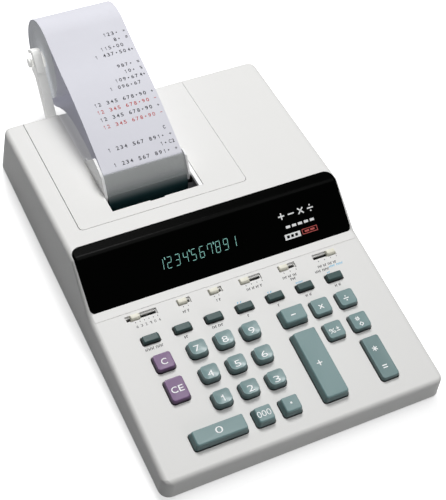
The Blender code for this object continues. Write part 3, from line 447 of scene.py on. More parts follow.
def soften(obj, width, angle):
    """Small rounded edges, as a mould leaves them."""
    mod = obj.modifiers.new("edges", "BEVEL")
    mod.width = width * MM
    mod.segments = 3
    mod.limit_method = "ANGLE"
    mod.angle_limit = math.radians(angle)
    mod.use_clamp_overlap = True


def finish_piece(obj, body, replaced):
    freeze(obj)
    smooth(obj, 30)
    mod = obj.modifiers.new("weighted", "WEIGHTED_NORMAL")
    mod.keep_sharp = True
    mod.weight = 80
    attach(obj, body)
    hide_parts(replaced)


def box_bm(x0, x1, y0, y1, z0, z1):
    bm = bmesh.new()
    bmesh.ops.create_cube(bm, size=1.0)
    bmesh.ops.scale(bm, vec=(x1 - x0, y1 - y0, z1 - z0), verts=bm.verts)
    bmesh.ops.translate(bm, vec=((x0 + x1) / 2, (y0 + y1) / 2, (z0 + z1) / 2), verts=bm.verts)
    return bm


def prism_bm(outline, axis, low, high):
    bm = bmesh.new()
    if axis == "X":
        verts = [bm.verts.new((low, a, b)) for a, b in outline]
        step = (high - low, 0, 0)
    else:
        verts = [bm.verts.new((a, b, low)) for a, b in outline]
        step = (0, 0, high - low)
    grown = bmesh.ops.extrude_face_region(bm, geom=[bm.faces.new(verts)])
    top = [item for item in grown["geom"] if isinstance(item, bmesh.types.BMVert)]
    bmesh.ops.translate(bm, vec=step, verts=top)
    return bm


def rounded_outline(x0, x1, y0, y1, r_front, r_rear, steps=3):
    points = []
    corners = [(x1, y0, r_front, -90), (x1, y1, r_rear, 0), (x0, y1, r_rear, 90), (x0, y0, r_front, 180)]
    for cx, cy, radius, start in corners:
        mx = cx - math.copysign(radius, cx - (x0 + x1) / 2)
        my = cy - math.copysign(radius, cy - (y0 + y1) / 2)
        for i in range(steps + 1):
            angle = math.radians(start + 90 * i / steps)
            points.append((mx + radius * math.cos(angle), my + radius * math.sin(angle)))
    return points


def loft_bm(rings):
    bm = bmesh.new()
    rows = [[bm.verts.new(point) for point in ring] for ring in rings]
    count = len(rings[0])
    for low, high in zip(rows, rows[1:]):
        for i in range(count):
            j = (i + 1) % count
            bm.faces.new((low[i], low[j], high[j], high[i]))
    bm.faces.new(rows[0])
    bm.faces.new(rows[-1])
    return bm


def ring_bm(profile, segments, centre):
    """A ring about the X axis through centre, from a closed outline of (radius, along) pairs."""
    bm = bmesh.new()
    rows = []
    for radius, along in profile:
        angles = [2 * math.pi * i / segments for i in range(segments)]
        points = [(along, radius * math.cos(a), radius * math.sin(a)) for a in angles]
        rows.append([bm.verts.new([p + c for p, c in zip(point, centre)]) for point in points])
    for low, high in zip(rows, rows[1:] + rows[:1]):
        for i in range(segments):
            j = (i + 1) % segments
            bm.faces.new((low[i], low[j], high[j], high[i]))
    return bm


def on_deck(x, s, h=0.0):
    """World place of a point of the key deck, h above its surface, in millimetres."""
    return Vector((x, fy(s * math.cos(DECK_TILT) - h * math.sin(DECK_TILT)),
                   fz(FRONT_H + s * math.sin(DECK_TILT) + h * math.cos(DECK_TILT))))


def to_deck(obj, x=0.0, s=0.0):
    """Moves an object made flat at the origin to a point of the key deck."""
    at = Matrix.Translation(on_deck(x, s) * MM)
    obj.data.transform(at @ Matrix.Rotation(DECK_TILT, 4, "X"))
    return obj


def on_panel(x, u, h=0.0):
    """World place of a point of the display window, u up its slope from the lower edge."""
    return Vector((x, fy(BAND_END + u * math.cos(PANEL_TILT) - h * math.sin(PANEL_TILT)),
                   fz(PANEL_Z0 + u * math.sin(PANEL_TILT) + h * math.cos(PANEL_TILT))))


# ---------------------------------------------------------------- case

def top_profile():
    return [(0, FRONT_H), (DECK_END, PANEL_Z0 - BAND_RISE), (BAND_END, PANEL_Z0),
            (CREST_Y, CREST_H), (CASE_DEPTH, REAR_H)]


def lowered(drop):
    slopes = []
    points = top_profile()
    for (ya, za), (yb, zb) in zip(points, points[1:]):
        angle = math.atan2(zb - za, yb - ya)
        slopes.append((ya + drop * math.sin(angle), za - drop * math.cos(angle), angle))
    result = [(-20.0, slopes[0][1] - (slopes[0][0] + 20.0) * math.tan(slopes[0][2]))]
    for (ya, za, first), (yb, zb, second) in zip(slopes, slopes[1:]):
        ta, tb = math.tan(first), math.tan(second)
        y = (zb - za + ya * ta - yb * tb) / (ta - tb)
        result.append((y, za + (y - ya) * ta))
    y, z, angle = slopes[-1]
    result.append((CASE_DEPTH + 20.0, z + (CASE_DEPTH + 20.0 - y) * math.tan(angle)))
    return result


def across_case(profile, inset=0.0):
    """A side outline as a block between the case's tapering sides, with its left and right corners."""
    bm = bmesh.new()
    left = [bm.verts.new((-half_width(z) + inset, fy(y), fz(z))) for y, z in profile]
    right = [bm.verts.new((half_width(z) - inset, fy(y), fz(z))) for y, z in profile]
    bm.faces.new(left)
    bm.faces.new(right)
    for i in range(len(profile)):
        j = (i + 1) % len(profile)
        bm.faces.new((left[i], left[j], right[j], right[i]))
    return bm, left, right


def case_block():
    profile = [(0, 0)] + top_profile() + [(rear_wall(0), 0)]
    bm, left, right = across_case(profile)
    count = len(profile)
    weight = bm.edges.layers.float.new("bevel_weight_edge")
    for side in (left, right):
        for i in range(count - 1):
            upright = i in (0, count - 2)
            bm.edges.get((side[i], side[i + 1]))[weight] = 1.0 if upright else EDGE_R / CORNER_R
    for i in (1, count - 2):
        bm.edges.get((left[i], right[i]))[weight] = EDGE_R / CORNER_R
    bm.edges.get((left[4], right[4]))[weight] = CREST_R / CORNER_R
    obj = add_object("case_block", bm)
    mod = obj.modifiers.new("rounding", "BEVEL")
    mod.limit_method = "WEIGHT"
    mod.width = CORNER_R * MM
    mod.segments = 10
    mod.use_clamp_overlap = False
    return freeze(obj)


def copy_of(obj, name, finish):
    made = obj.copy()
    made.data = obj.data.copy()
    made.name = name
    made.hide_render = False
    made.data.materials.clear()
    made.data.materials.append(finish)
    bpy.context.scene.collection.objects.link(made)
    return made


def under_surface(name, drop):
    """A cutter for everything lower than drop beneath the case's top."""
    outline = [(fy(y), fz(z)) for y, z in lowered(drop)]
    outline += [(fy(CASE_DEPTH + 20.0), -30.0), (fy(-20.0), -30.0)]
    return add_object(name, prism_bm(outline, "X", -130, 130))


def plan_cutter(name, outline, low):
    """An upright cutter with this plan, from low to well over the case."""
    return add_object(name, prism_bm(outline, "Z", fz(low), fz(70)))


def cut_box(obj, name, *sides):
    boolean(obj, add_object(name, box_bm(*sides)))


def case_cavity():
    deck, panel, rear = lowered(WALL), lowered(PANEL_WALL_T), lowered(REAR_WALL_T)
    inset = WALL + 0.2
    start = (inset, deck[0][1] + (inset + 20.0) * math.tan(DECK_TILT))
    end_z = rear[-1][1] + (20.0 + inset) * math.tan(math.atan2(CREST_H - REAR_H, CASE_DEPTH - CREST_Y))
    profile = [(inset, -10.0), start, (DECK_END + 1.0, deck[1][1] - 0.22), (panel[2][0] + 1.4, panel[2][1]),
               panel[3], (CASE_DEPTH - inset, end_z), (rear_wall(-10.0) - inset, -10.0)]
    bm, *sides = across_case(profile, inset)
    uprights = [bm.edges.get((side[i], side[i + 1])) for side in sides for i in (0, len(profile) - 2)]
    bmesh.ops.bevel(bm, geom=uprights, offset=CORNER_R - WALL, segments=6, affect="EDGES", profile=0.5)
    return add_object("case_cavity", bm)


def centred_key(name, x, s, width, depth, height, kind, look):
    """A row of the table of keys for a key known by its centre."""
    return (name, x - width / 2, x + width / 2, s - depth / 2, s + depth / 2, height, kind, look)


def digit_keys():
    names = (("7", "8", "9"), ("4", "5", "6"), ("1", "2", "3"))
    for row, s in zip(names, ROW_S):
        for digit, x in zip(row, COLUMN_X):
            yield centred_key(f"key_{digit}", x, s, DIGIT_W, DIGIT_D, DIGIT_H, "digit", "teal")


def function_keys():
    for i in range(7):
        x = FUNCTION_X0 + FUNCTION_PITCH * i
        yield centred_key(f"key_f{i + 1}", x, FUNCTION_S, FUNCTION_W, FUNCTION_D, FUNCTION_H,
                          "function", "dark")


def all_keys():
    return list(digit_keys()) + KEYS + list(function_keys())


CORNERS = {"digit": (3.6, 2.4), "wide": (2.0, 1.6), "low": (2.2, 1.8), "function": (0.9, 0.9)}


def window_plan(gap):
    half = WINDOW_HALF + gap
    return rounded_outline(-half, half, fy(WINDOW_FRONT - gap), fy(WINDOW_REAR + gap),
                           WINDOW_R_FRONT, WINDOW_R_REAR, 12)


def build_case_shell(block):
    top = copy_of(block, "case_shell", CASE_WHITE)
    boolean(top, case_cavity())
    recess = plan_cutter("window_recess", window_plan(GAP), 10)
    boolean(recess, under_surface("recess_floor", WINDOW_T + GAP))
    boolean(top, freeze(recess))
    cut_box(top, "display_opening", OPENING_X0, OPENING_X1, fy(OPENING_Y0), fy(OPENING_Y1), fz(18), fz(60))
    seat = plan_cutter("cover_seat", rounded_outline(
        COVER_X0 - COVER_GAP, COVER_X1 + COVER_GAP, fy(COVER_Y0 - COVER_GAP), fy(CASE_DEPTH + 30),
        COVER_R, COVER_R, 8), 20)
    boolean(seat, under_surface("seat_floor", COVER_T + GAP))
    boolean(top, freeze(seat))
    cut_box(top, "printer_well", COVER_X0 + LEDGE, COVER_X1 - LEDGE, fy(COVER_Y0 + LEDGE),
            fy(CASE_DEPTH - LEDGE - 1.0), fz(10), fz(60))
    channel_floor = rear_top(CASE_DEPTH) - CHANNEL_DROP - CHANNEL_T - GAP
    cut_box(top, "rear_wall_dip", NOTCH_X0 - GAP, NOTCH_X1 + GAP, fy(CASE_DEPTH - 8), fy(CASE_DEPTH + 5),
            fz(channel_floor), fz(60))
    for name, x0, x1, s0, s1, _, kind, _ in all_keys():
        front, rear = CORNERS[kind]
        m = KEY_HOLE_GAP
        outline = rounded_outline(x0 - m, x1 + m, s0 - m, s1 + m, front + m, rear + m, 6)
        boolean(top, to_deck(add_object("hole_" + name, prism_bm(outline, "Z", -12.0, 12.0))))
    middle = (SLOT_S0 + SLOT_S1) / 2
    end, reach = ((KNOB_W - STEM_W) / 2 - RUN_GAP) / 2, STEM_D / 2 + RUN_GAP
    for i, (x0, x1, _) in enumerate(SLIDES):
        pocket = box_bm(x0, x1, SLOT_S0, SLOT_S1, -SLOT_DEPTH, 8.0)
        boolean(top, to_deck(add_object(f"pocket_{i + 1}", pocket)))
        slot = box_bm(x0 + end, x1 - end, middle - reach, middle + reach, -8.0, 4.0)
        boolean(top, to_deck(add_object(f"slot_{i + 1}", slot)))
    crease = box_bm(-120.0, 120.0, CREASE_S0, CREASE_S1, -CREASE_DEPTH, 4.0)
    boolean(top, to_deck(add_object("crease", crease)))
    for x0, x1 in (ARM_LEFT, ARM_RIGHT):
        cut_box(top, "arm_socket", x0 - GAP, x1 + GAP, fy(CASE_DEPTH - 8), fy(CASE_DEPTH + 9),
                fz(ARM_FOOT_Z0 - GAP), fz(ARM_FOOT_Z1 + GAP))
    half_w, half_h = INLET_W / 2 + GAP, INLET_H / 2 + GAP
    cut_box(top, "inlet_opening", INLET_X - half_w, INLET_X + half_w, fy(CASE_DEPTH - 8), fy(CASE_DEPTH + 9),
            fz(INLET_Z - half_h), fz(INLET_Z + half_h))
    finish_piece(top, "case", "top_case")


def build_window(block):
    window = copy_of(block, "window_glass", BLACK)
    boolean(window, plan_cutter("window_outline", window_plan(0.0), 10), "INTERSECT")
    boolean(window, under_surface("window_back", WINDOW_T))
    freeze(window)
    soften(window, 0.25, 50)
    finish_piece(window, "case", "display_window")


def build_cover(block):
    cover = copy_of(block, "cover_plate", CASE_WHITE)
    outline = rounded_outline(COVER_X0, COVER_X1 + 0.3, fy(COVER_Y0 - 0.15), fy(CASE_DEPTH + 30),
                              COVER_R, COVER_R, 8)
    boolean(cover, plan_cutter("cover_outline", outline, 10), "INTERSECT")
    boolean(cover, under_surface("cover_back", COVER_T))
    cut_box(cover, "paper_notch", NOTCH_X0, NOTCH_X1, fy(NOTCH_Y), fy(CASE_DEPTH + 10), 0, 90)
    cut_box(cover, "finger_notch", FINGER_X0, FINGER_X1, fy(NOTCH_Y - FINGER_DEPTH), fy(NOTCH_Y + 3), 0, 90)
    freeze(cover)
    soften(cover, 0.3, 50)
    finish_piece(cover, "cover", "printer_cover")


def build_case():
    block = case_block()
    build_case_shell(block)
    build_window(block)
    build_cover(block)
    bpy.data.objects.remove(block, do_unlink=True)


# ---------------------------------------------------------------- keys

def even(inset, level):
    return (inset, inset, inset, inset, level)


def key_levels(h, kind):
    """(inset left, right, front, rear, level) from the skirt's lower edge to the rim of a key h high."""
    levels = {
        "digit": [even(0, 1.3), (0.05, 0.05, 0.05, 0.04, 1.5), (0.25, 0.25, 0.2, 0.16, 1.68),
                  (0.45, 0.45, 0.35, 0.3, 1.78), (0.52, 0.52, 0.42, 0.36, 2.0), (0.62, 0.62, 0.6, 0.46, 3.4),
                  (0.72, 0.72, 0.8, 0.56, h - 0.34), (0.78, 0.78, 0.9, 0.62, h - 0.14),
                  (0.9, 0.9, 1.04, 0.74, h - 0.03), (1.08, 1.08, 1.22, 0.9, h - 0.02)],
        "wide": [even(0, 1.5), (0.08, 0.06, 0.08, 0.05, 1.75), (0.35, 0.2, 0.3, 0.2, 1.92),
                 (0.55, 0.32, 0.45, 0.32, 2.1), (0.95, 0.46, 0.7, 0.46, 3.4), (1.3, 0.6, 0.9, 0.6, h - 0.75),
                 (1.45, 0.66, 1.05, 0.64, h - 0.5), (1.95, 0.72, 1.55, 0.7, h - 0.12),
                 (2.15, 0.86, 1.8, 0.84, h - 0.02), (2.4, 1.05, 2.05, 1.05, h)],
        "low": [even(0, 0.8), even(0.1, 1.1), even(0.32, 1.8), even(0.5, h - 0.5), even(0.58, h - 0.2),
                even(0.74, h - 0.05), even(0.95, h)],
        "function": [even(0, 0.5), (0.2, 0.2, 0.15, 0.1, 0.9), (0.7, 0.7, 0.7, 0.4, h - 0.4),
                     (0.8, 0.8, 0.8, 0.48, h - 0.14), (1.0, 1.0, 1.0, 0.66, h)],
    }
    return [even(0, -KEY_SKIRT)] + levels[kind]


DISH_DEPTH = {"digit": 0.62, "wide": 0.12, "low": 0.16, "function": 0.0}


def top_height(height, kind, share):
    """Height of the key's top at a share of the way from its middle (0) to its rim (1)."""
    return height - DISH_DEPTH[kind] * (1 - share ** 2)


def build_key(name, x0, x1, s0, s1, height, kind, finish):
    width, depth = x1 - x0, s1 - s0
    front, rear = CORNERS[kind]
    rings = []
    for left, right, near, far, level in key_levels(height, kind):
        shrink = (left + near) / 2
        outline = rounded_outline(-width / 2 + left, width / 2 - right, -depth / 2 + near, depth / 2 - far,
                                  max(front - shrink * 0.35, 0.4), max(rear - shrink * 0.35, 0.4), 7)
        rings.append([(x, y, level) for x, y in outline])
    rim = rings[-1]
    mid_x = sum(p[0] for p in rim) / len(rim)
    mid_y = sum(p[1] for p in rim) / len(rim)
    for share in (0.9, 0.75, 0.6, 0.45, 0.3, 0.15):
        level = top_height(height, kind, share)
        rings.append([(mid_x + (x - mid_x) * share, mid_y + (y - mid_y) * share, level) for x, y, _ in rim])
    key = add_object("cap_" + name[4:], loft_bm(rings), finish)
    smooth(to_deck(key, (x0 + x1) / 2, (s0 + s1) / 2), 60)
    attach(key, name + "_body")
    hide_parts(name)
    return mid_x, mid_y, rim


GLYPHS = {}


def glyph(text, bold):
    """Flat outline of a text as (points, triangles), fitted to the unit square about its middle."""
    key = (text, bold)
    if key in GLYPHS:
        return GLYPHS[key]
    curve = bpy.data.curves.new("glyph", "FONT")
    curve.body = text
    curve.size = 1.0
    curve.offset = bold
    curve.resolution_u = 4
    obj = bpy.data.objects.new("glyph", curve)
    SCRAP.objects.link(obj)
    bpy.context.view_layer.update()
    mesh = bpy.data.meshes.new_from_object(obj.evaluated_get(bpy.context.evaluated_depsgraph_get()))
    mesh.calc_loop_triangles()
    points = [v.co.copy() for v in mesh.vertices]
    low = Vector((min(p.x for p in points), min(p.y for p in points)))
    high = Vector((max(p.x for p in points), max(p.y for p in points)))
    size = high - low
    fitted = [((p.x - low.x) / size.x - 0.5, (p.y - low.y) / size.y - 0.5) for p in points]
    tris = [tuple(t.vertices) for t in mesh.loop_triangles]
    bpy.data.objects.remove(obj, do_unlink=True)
    bpy.data.curves.remove(curve)
    bpy.data.meshes.remove(mesh)
    GLYPHS[key] = (fitted, tris)
    return GLYPHS[key]


def flat_shape(bm, points, tris, place, cuts_over=0.7):
    """Adds a flat shape to bm, cut finely enough to follow a curved surface; place puts each point there."""
    part = bmesh.new()
    verts = [part.verts.new((x, y, 0)) for x, y in points]
    for tri in tris:
        try:
            part.faces.new([verts[i] for i in tri])
        except ValueError:
            continue
    bmesh.ops.remove_doubles(part, verts=part.verts, dist=0.0005)
    for _ in range(3):
        long_edges = [e for e in part.edges if e.calc_length() > cuts_over]
        if not long_edges:
            break
        bmesh.ops.subdivide_edges(part, edges=long_edges, cuts=1)
        bmesh.ops.triangulate(part, faces=part.faces)
    made = {vert: bm.verts.new(place(vert.co.x, vert.co.y)) for vert in part.verts}
    for face in part.faces:
        verts = [made[v] for v in face.verts]
        if bm.faces.get(verts) is None:
            bm.faces.new(verts)
    part.free()


QUAD_TRIS = [(0, 1, 2), (0, 2, 3)]


def corners(x0, x1, y0, y1):
    return [(x0, y0), (x1, y0), (x1, y1), (x0, y1)]


def bar_points(x, y, length, line, angle):
    """A straight bar centred on x, y, as points and triangles."""
    along = Vector((math.cos(angle), math.sin(angle))) * length / 2
    across = Vector((-along.y, along.x)).normalized() * line / 2
    middle = Vector((x, y))
    near, far = middle - along, middle + along
    return [tuple(c) for c in (near - across, far - across, far + across, near + across)], QUAD_TRIS


def sign_bars(sign, x, y, width, height):
    """Bars that draw a sign the way it is moulded on keys."""
    if sign == "*":
        return [bar_points(x, y, height, height * 0.17, math.radians(90 + 60 * i)) for i in range(3)]
    if sign == "x":
        return [bar_points(x, y, height * 1.25, height * 0.2, math.radians(a)) for a in (45, -45)]
    line = height * 0.15
    upright_bars = [bar_points(x + width * side, y, height, line, math.radians(84)) for side in (-0.19, 0.19)]
    return upright_bars + [bar_points(x, y + height * side, width, line, 0.0) for side in (-0.17, 0.17)]


# The figure 1 in a unit square, because the font's own 1 has a foot.
ONE_POINTS = [(1.0, 0.0), (1.0, 1.0), (0.68, 1.0), (0.42, 0.87), (0.0, 0.80), (0.0, 0.66), (0.62, 0.68),
              (0.62, 0.0)]
ONE_TRIS = [(0, 1, 6), (0, 6, 7), (1, 2, 6), (2, 3, 6), (3, 5, 6), (3, 4, 5)]


def text_shape(bm, text, x, y, width, height, place, bold=0.0, cuts_over=0.7):
    if text in "*#x":
        for points, tris in sign_bars(text, x, y, width, height):
            flat_shape(bm, points, tris, place, cuts_over)
        return
    points, tris = glyph(text, bold)
    if text == "1":
        points, tris = [(px - 0.5, py - 0.5) for px, py in ONE_POINTS], ONE_TRIS
    sized = [(x + px * width, y + py * height) for px, py in points]
    flat_shape(bm, sized, tris, place, cuts_over)


def quad_shape(bm, x0, x1, y0, y1, place, cuts_over=5.0):
    flat_shape(bm, corners(x0, x1, y0, y1), QUAD_TRIS, place, cuts_over)


# Key legends: key, then (text, x, s, width, height) on the deck plane.
LEGENDS = {
    "key_7": [("7", -44.0, 77.3, 4.0, 4.5)], "key_8": [("8", -24.3, 76.9, 4.2, 4.5)],
    "key_9": [("9", -5.3, 76.7, 4.2, 4.5)], "key_4": [("4", -43.3, 57.8, 4.2, 4.5)],
    "key_5": [("5", -24.2, 58.0, 4.2, 4.5)], "key_6": [("6", -5.3, 58.0, 4.2, 4.5)],
    "key_1": [("1", -43.2, 39.3, 1.8, 4.5)], "key_2": [("2", -24.0, 39.1, 4.2, 4.5)],
    "key_3": [("3", -5.6, 38.9, 4.2, 4.5)],
    "key_0": [("0", -54.7, 20.4, 5.0, 4.4)],
    "key_000": [("0", -27.2, 20.2, 2.9, 4.2), ("0", -23.9, 20.2, 2.9, 4.2), ("0", -20.6, 20.2, 2.9, 4.2)],
    "key_point": [(".", -4.7, 20.5, 1.5, 1.5)],
    "key_plus": [("+", 25.2, 39.2, 3.9, 3.9)],
    "key_minus": [("-", 25.3, 77.3, 3.4, 0.8)],
    "key_times": [("x", 46.2, 76.9, 3.6, 3.4)],
    "key_divide": [("-", 65.0, 76.8, 3.9, 0.75), (".", 65.0, 78.4, 1.0, 1.0), (".", 65.0, 75.2, 1.0, 1.0)],
    "key_percent": [("%", 44.6, 57.6, 4.5, 3.5), ("+", 48.8, 58.6, 2.4, 2.4), ("-", 48.8, 56.8, 2.4, 0.55)],
    "key_subtotal": [("#", 64.5, 60.0, 3.2, 3.2)],
    "key_total": [("*", 65.0, 36.2, 4.0, 4.0), ("-", 65.1, 23.2, 3.4, 0.75), ("-", 65.1, 21.5, 3.4, 0.75)],
    "key_c": [("C", -66.8, 76.8, 4.1, 4.4)],
    "key_ce": [("C", -68.9, 55.9, 4.1, 4.4), ("E", -64.3, 55.9, 3.3, 4.4)],
}


def hollow(outer, inner):
    """The band between two outlines of four corners, as points and triangles."""
    tris = []
    for i in range(4):
        j = (i + 1) % 4
        tris += [(i, j, 4 + j), (i, 4 + j, 4 + i)]
    return outer + inner, tris


def diamond(x, y, half):
    return [(x, y + half), (x + half, y), (x, y - half), (x - half, y)]


def build_keys():
    looks = {"teal": TEAL, "dark": DARK_TEAL, "purple": PURPLE}
    for name, x0, x1, s0, s1, height, kind, look in all_keys():
        finish = {("low", "teal"): TEAL_LOW, ("wide", "teal"): TEAL_WIDE}.get((kind, look), looks[look])
        mid_x, mid_y, rim = build_key(name, x0, x1, s0, s1, height, kind, finish)
        if name not in LEGENDS:
            continue
        key_x, key_s = (x0 + x1) / 2, (s0 + s1) / 2
        reach_x = max(abs(p[0] - mid_x) for p in rim)
        reach_y = max(abs(p[1] - mid_y) for p in rim)

        def place(x, s):
            dx, dy = (x - key_x - mid_x) / reach_x, (s - key_s - mid_y) / reach_y
            share = min(1.0, max(math.hypot(dx, dy), abs(dx), abs(dy)))
            return on_deck(x, s, top_height(height, kind, share) + 0.05)

        bm = bmesh.new()
        for text, x, s, width, tall in LEGENDS[name]:
            weight = -0.004 if text.isdigit() else 0.006
            text_shape(bm, text, x, s, width, tall, place, bold=weight, cuts_over=0.6)
        if name == "key_subtotal":
            flat_shape(bm, *hollow(diamond(65.5, 55.6, 1.75), diamond(65.5, 55.6, 0.95)), place, 0.6)
        legend = add_object("legend_" + name[4:], bm, WHITE_INK)
        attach(legend, name + "_body")


def build_slides():
    for i, (_, _, centre) in enumerate(SLIDES):
        depth = SLOT_S1 - SLOT_S0 - 2 * RUN_GAP
        floor = -SLOT_DEPTH + GAP
        rings = []
        for inset, near, level in ((0, 0, floor), (0, 0, 0.3), (0.1, 0.15, 1.0), (0.25, 0.6, KNOB_H - 0.35),
                                   (0.4, 0.9, KNOB_H - 0.08), (0.7, 1.2, KNOB_H)):
            outline = rounded_outline(-KNOB_W / 2 + inset, KNOB_W / 2 - inset, -depth / 2 + near,
                                      depth / 2 - inset, 0.45, 0.45, 4)
            rings.append([(x, y, level) for x, y in outline])
        knob = add_object(f"knob_{i + 1}", loft_bm(rings), KNOB_CREAM)
        stem = add_object("stem", box_bm(-STEM_W / 2, STEM_W / 2, -STEM_D / 2, STEM_D / 2, -5.0, 0.0))
        boolean(knob, stem, "UNION")
        freeze(knob)
        smooth(to_deck(knob, centre, (SLOT_S0 + SLOT_S1) / 2), 40)
        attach(knob, f"slide_{i + 1}_body")
        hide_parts(f"slide_knob_{i + 1}")


# ---------------------------------------------------------------- markings

def deck_place(x, s):
    return on_deck(x, s, 0.03)


def build_deck_marks():
    """Scale ticks, plain position numbers, and short bars in place of words."""
    grey, blue = bmesh.new(), bmesh.new()
    first_x, first_pitch = -71.8, 3.1
    scales = [(first_x, first_pitch, 6), (-38.0, 3.4, 2), (-15.6, 3.2, 2), (7.6, 4.0, 4), (36.0, 4.6, 3),
              (62.5, 4.6, 4)]
    for start, pitch, ticks in scales:
        for i in range(ticks):
            x = start + pitch * i
            quad_shape(grey, x - 0.2, x + 0.2, 110.4, 111.3, deck_place)
    for i, digit in enumerate("632104"):
        x = first_x + first_pitch * i
        text_shape(grey, digit, x, 107.6, 1.35, 2.0, deck_place)
    words = [(-37.6, 107.2, (2.6, 1.4)), (-14.0, 107.4, (0.9, 1.5)), (12.4, 107.6, (3.0, 2.0, 2.4, 1.6)),
             (38.6, 107.2, (3.2, 2.6, 3.0)), (40.0, 104.6, (4.0,)), (67.0, 106.8, (3.2, 2.6, 3.2, 2.4)),
             (61.6, 103.6, (4.4, 5.4))]
    for x, s, widths in words:
        add_bars(grey, x, s, widths, 1.8)
    add_bars(blue, 72.6, 104.4, (4.6, 5.2), 1.5)
    for i, widths in enumerate(((6.4, 5.2), (2.8,), (3.4, 3.6), (1.4,), (1.4,), (2.0, 1.8), (2.0, 1.8))):
        add_bars(grey, FUNCTION_X0 + FUNCTION_PITCH * i, 89.6, widths, 1.9)
    for i, widths in ((3, (1.2, 1.2)), (4, (1.2, 1.2)), (5, (5.4,)), (6, (2.4,))):
        add_bars(blue, FUNCTION_X0 - 1.5 + FUNCTION_PITCH * i, 100.6, widths, 1.3)
    for name, bm, finish in (("deck_marks", grey, GREY_INK), ("deck_marks_blue", blue, BLUE_INK)):
        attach(add_object(name, bm, finish), "case")


def add_bars(bm, x, s, widths, tall):
    """A row of short bars standing for words, centred on x: each bar is broken up as letters would be."""
    gap = 0.9
    left = x - (sum(widths) + gap * (len(widths) - 1)) / 2
    for width in widths:
        count = max(1, round(width / 1.15))
        pitch = width / count
        for i in range(count):
            a = left + pitch * i
            quad_shape(bm, a + 0.08, a + 0.08 + pitch * 0.36, s - tall / 2, s + tall / 2, deck_place)
            low = s + (tall / 2 - 0.4 if (i + count) % 2 else -0.2)
            quad_shape(bm, a + pitch * 0.38, a + pitch * 0.88, low, low + 0.5, deck_place)
        left += width + gap


SEGMENTS = {
    "0": "abcdef", "1": "bc", "2": "abged", "3": "abgcd", "4": "fgbc", "5": "afgcd", "6": "afgedc",
    "7": "fabc", "8": "abcdefg", "9": "gfabcd",
}


def segment_shapes(digit):
    """Outlines of a seven-segment digit in a 1 x 2 cell, as (x, y) corner lists."""
    t, g = 0.085, 0.03
    across = [(t * 0.9 + g, 0.0), (1 - t * 0.9 - g, 0.0), (1 - t * 1.5 - g, t), (t * 1.5 + g, t)]
    shapes = {
        "d": across, "a": [(x, 2 - y) for x, y in across],
        "g": [(t + g, 1.0), (t * 1.6 + g, 1 + t / 2), (1 - t * 1.6 - g, 1 + t / 2), (1 - t - g, 1.0),
              (1 - t * 1.6 - g, 1 - t / 2), (t * 1.6 + g, 1 - t / 2)],
    }
    low_left = [(0.0, t * 0.9 + g), (t, t * 1.5 + g), (t, 1 - t * 1.1), (0.0, 1 - g)]
    shapes["e"] = low_left
    shapes["f"] = [(x, 2 - y) for x, y in low_left]
    shapes["c"] = [(1 - x, y) for x, y in low_left]
    shapes["b"] = [(1 - x, 2 - y) for x, y in low_left]
    return [shapes[s] for s in SEGMENTS[digit]]


def panel_place(x, u):
    return on_panel(x, u, 0.04)


def build_window_marks():
    """The display's digits, slanted, with a mark after every third one."""
    digits = bmesh.new()
    figures = "1234567891"
    first_x, last_x, base_u, tall, wide, slant = -41.7, 11.3, 13.4, 7.6, 3.3, 0.13
    pitch = (last_x - first_x) / (len(figures) - 1)
    for i, digit in enumerate(figures):
        x = first_x + pitch * i - wide / 2
        for outline in segment_shapes(digit):
            points = [(x + px * wide + (py / 2 - 0.5) * tall * slant, base_u + py * tall / 2)
                      for px, py in outline]
            fan = [(0, k, k + 1) for k in range(1, len(points) - 1)]
            flat_shape(digits, points, fan, panel_place, 9.0)
    for i in (0, 3, 6):
        x = first_x + pitch * (i + 0.5) + 0.55
        quad_shape(digits, x - 0.25, x + 0.25, base_u + tall * 0.84, base_u + tall * 1.05, panel_place)
    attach(add_object("display_digits", digits, DISPLAY_GLOW), "case")


def build_badge():
    """Plain marks on the window: the four signs of arithmetic, a row of bars, a white and a red box."""
    white, red, dark = bmesh.new(), bmesh.new(), bmesh.new()
    sign_x, sign_u, sign_pitch, sign_w, dot_w = 49.2, 23.6, 7.4, 4.6, 1.1
    for i, sign in enumerate("+-x-"):
        tall = 0.9 if sign == "-" else sign_w
        text_shape(white, sign, sign_x + sign_pitch * i, sign_u, sign_w, tall, panel_place, bold=0.01)
    for du in (-2.0, 2.0):
        text_shape(white, ".", sign_x + sign_pitch * 3, sign_u + du, dot_w, dot_w, panel_place, bold=0.01)
    for i in range(5):
        quad_shape(white, 50.2 + 4.6 * i, 53.4 + 4.6 * i, 14.6, 16.4, panel_place)
    quad_shape(white, 47.4, 59.3, 7.0, 10.9, panel_place)
    for i in range(3):
        quad_shape(dark, 49.0 + 3.1 * i, 51.0 + 3.1 * i, 8.0, 9.9, lambda x, u: on_panel(x, u, 0.07))
    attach(add_object("badge_marks_dark", dark, BLACK), "case")
    x0, x1, u0, u1, line = 60.7, 72.4, 7.4, 11.1, 0.45
    inner = corners(x0 + line, x1 - line, u0 + line, u1 - line)
    flat_shape(red, *hollow(corners(x0, x1, u0, u1), inner), panel_place, 9.0)
    for i in range(2):
        quad_shape(red, 62.7 + 4.2 * i, 66.0 + 4.2 * i, 8.6, 9.9, panel_place)
    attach(add_object("badge_marks", white, BADGE_WHITE), "case")
    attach(add_object("badge_marks_red", red, BADGE_RED), "case")


# ---------------------------------------------------------------- paper

def arc(cy, cz, radius, start, end, steps):
    angles = [math.radians(start + (end - start) * i / steps) for i in range(steps + 1)]
    return [(cy + radius * math.cos(angle), cz + radius * math.sin(angle)) for angle in angles]


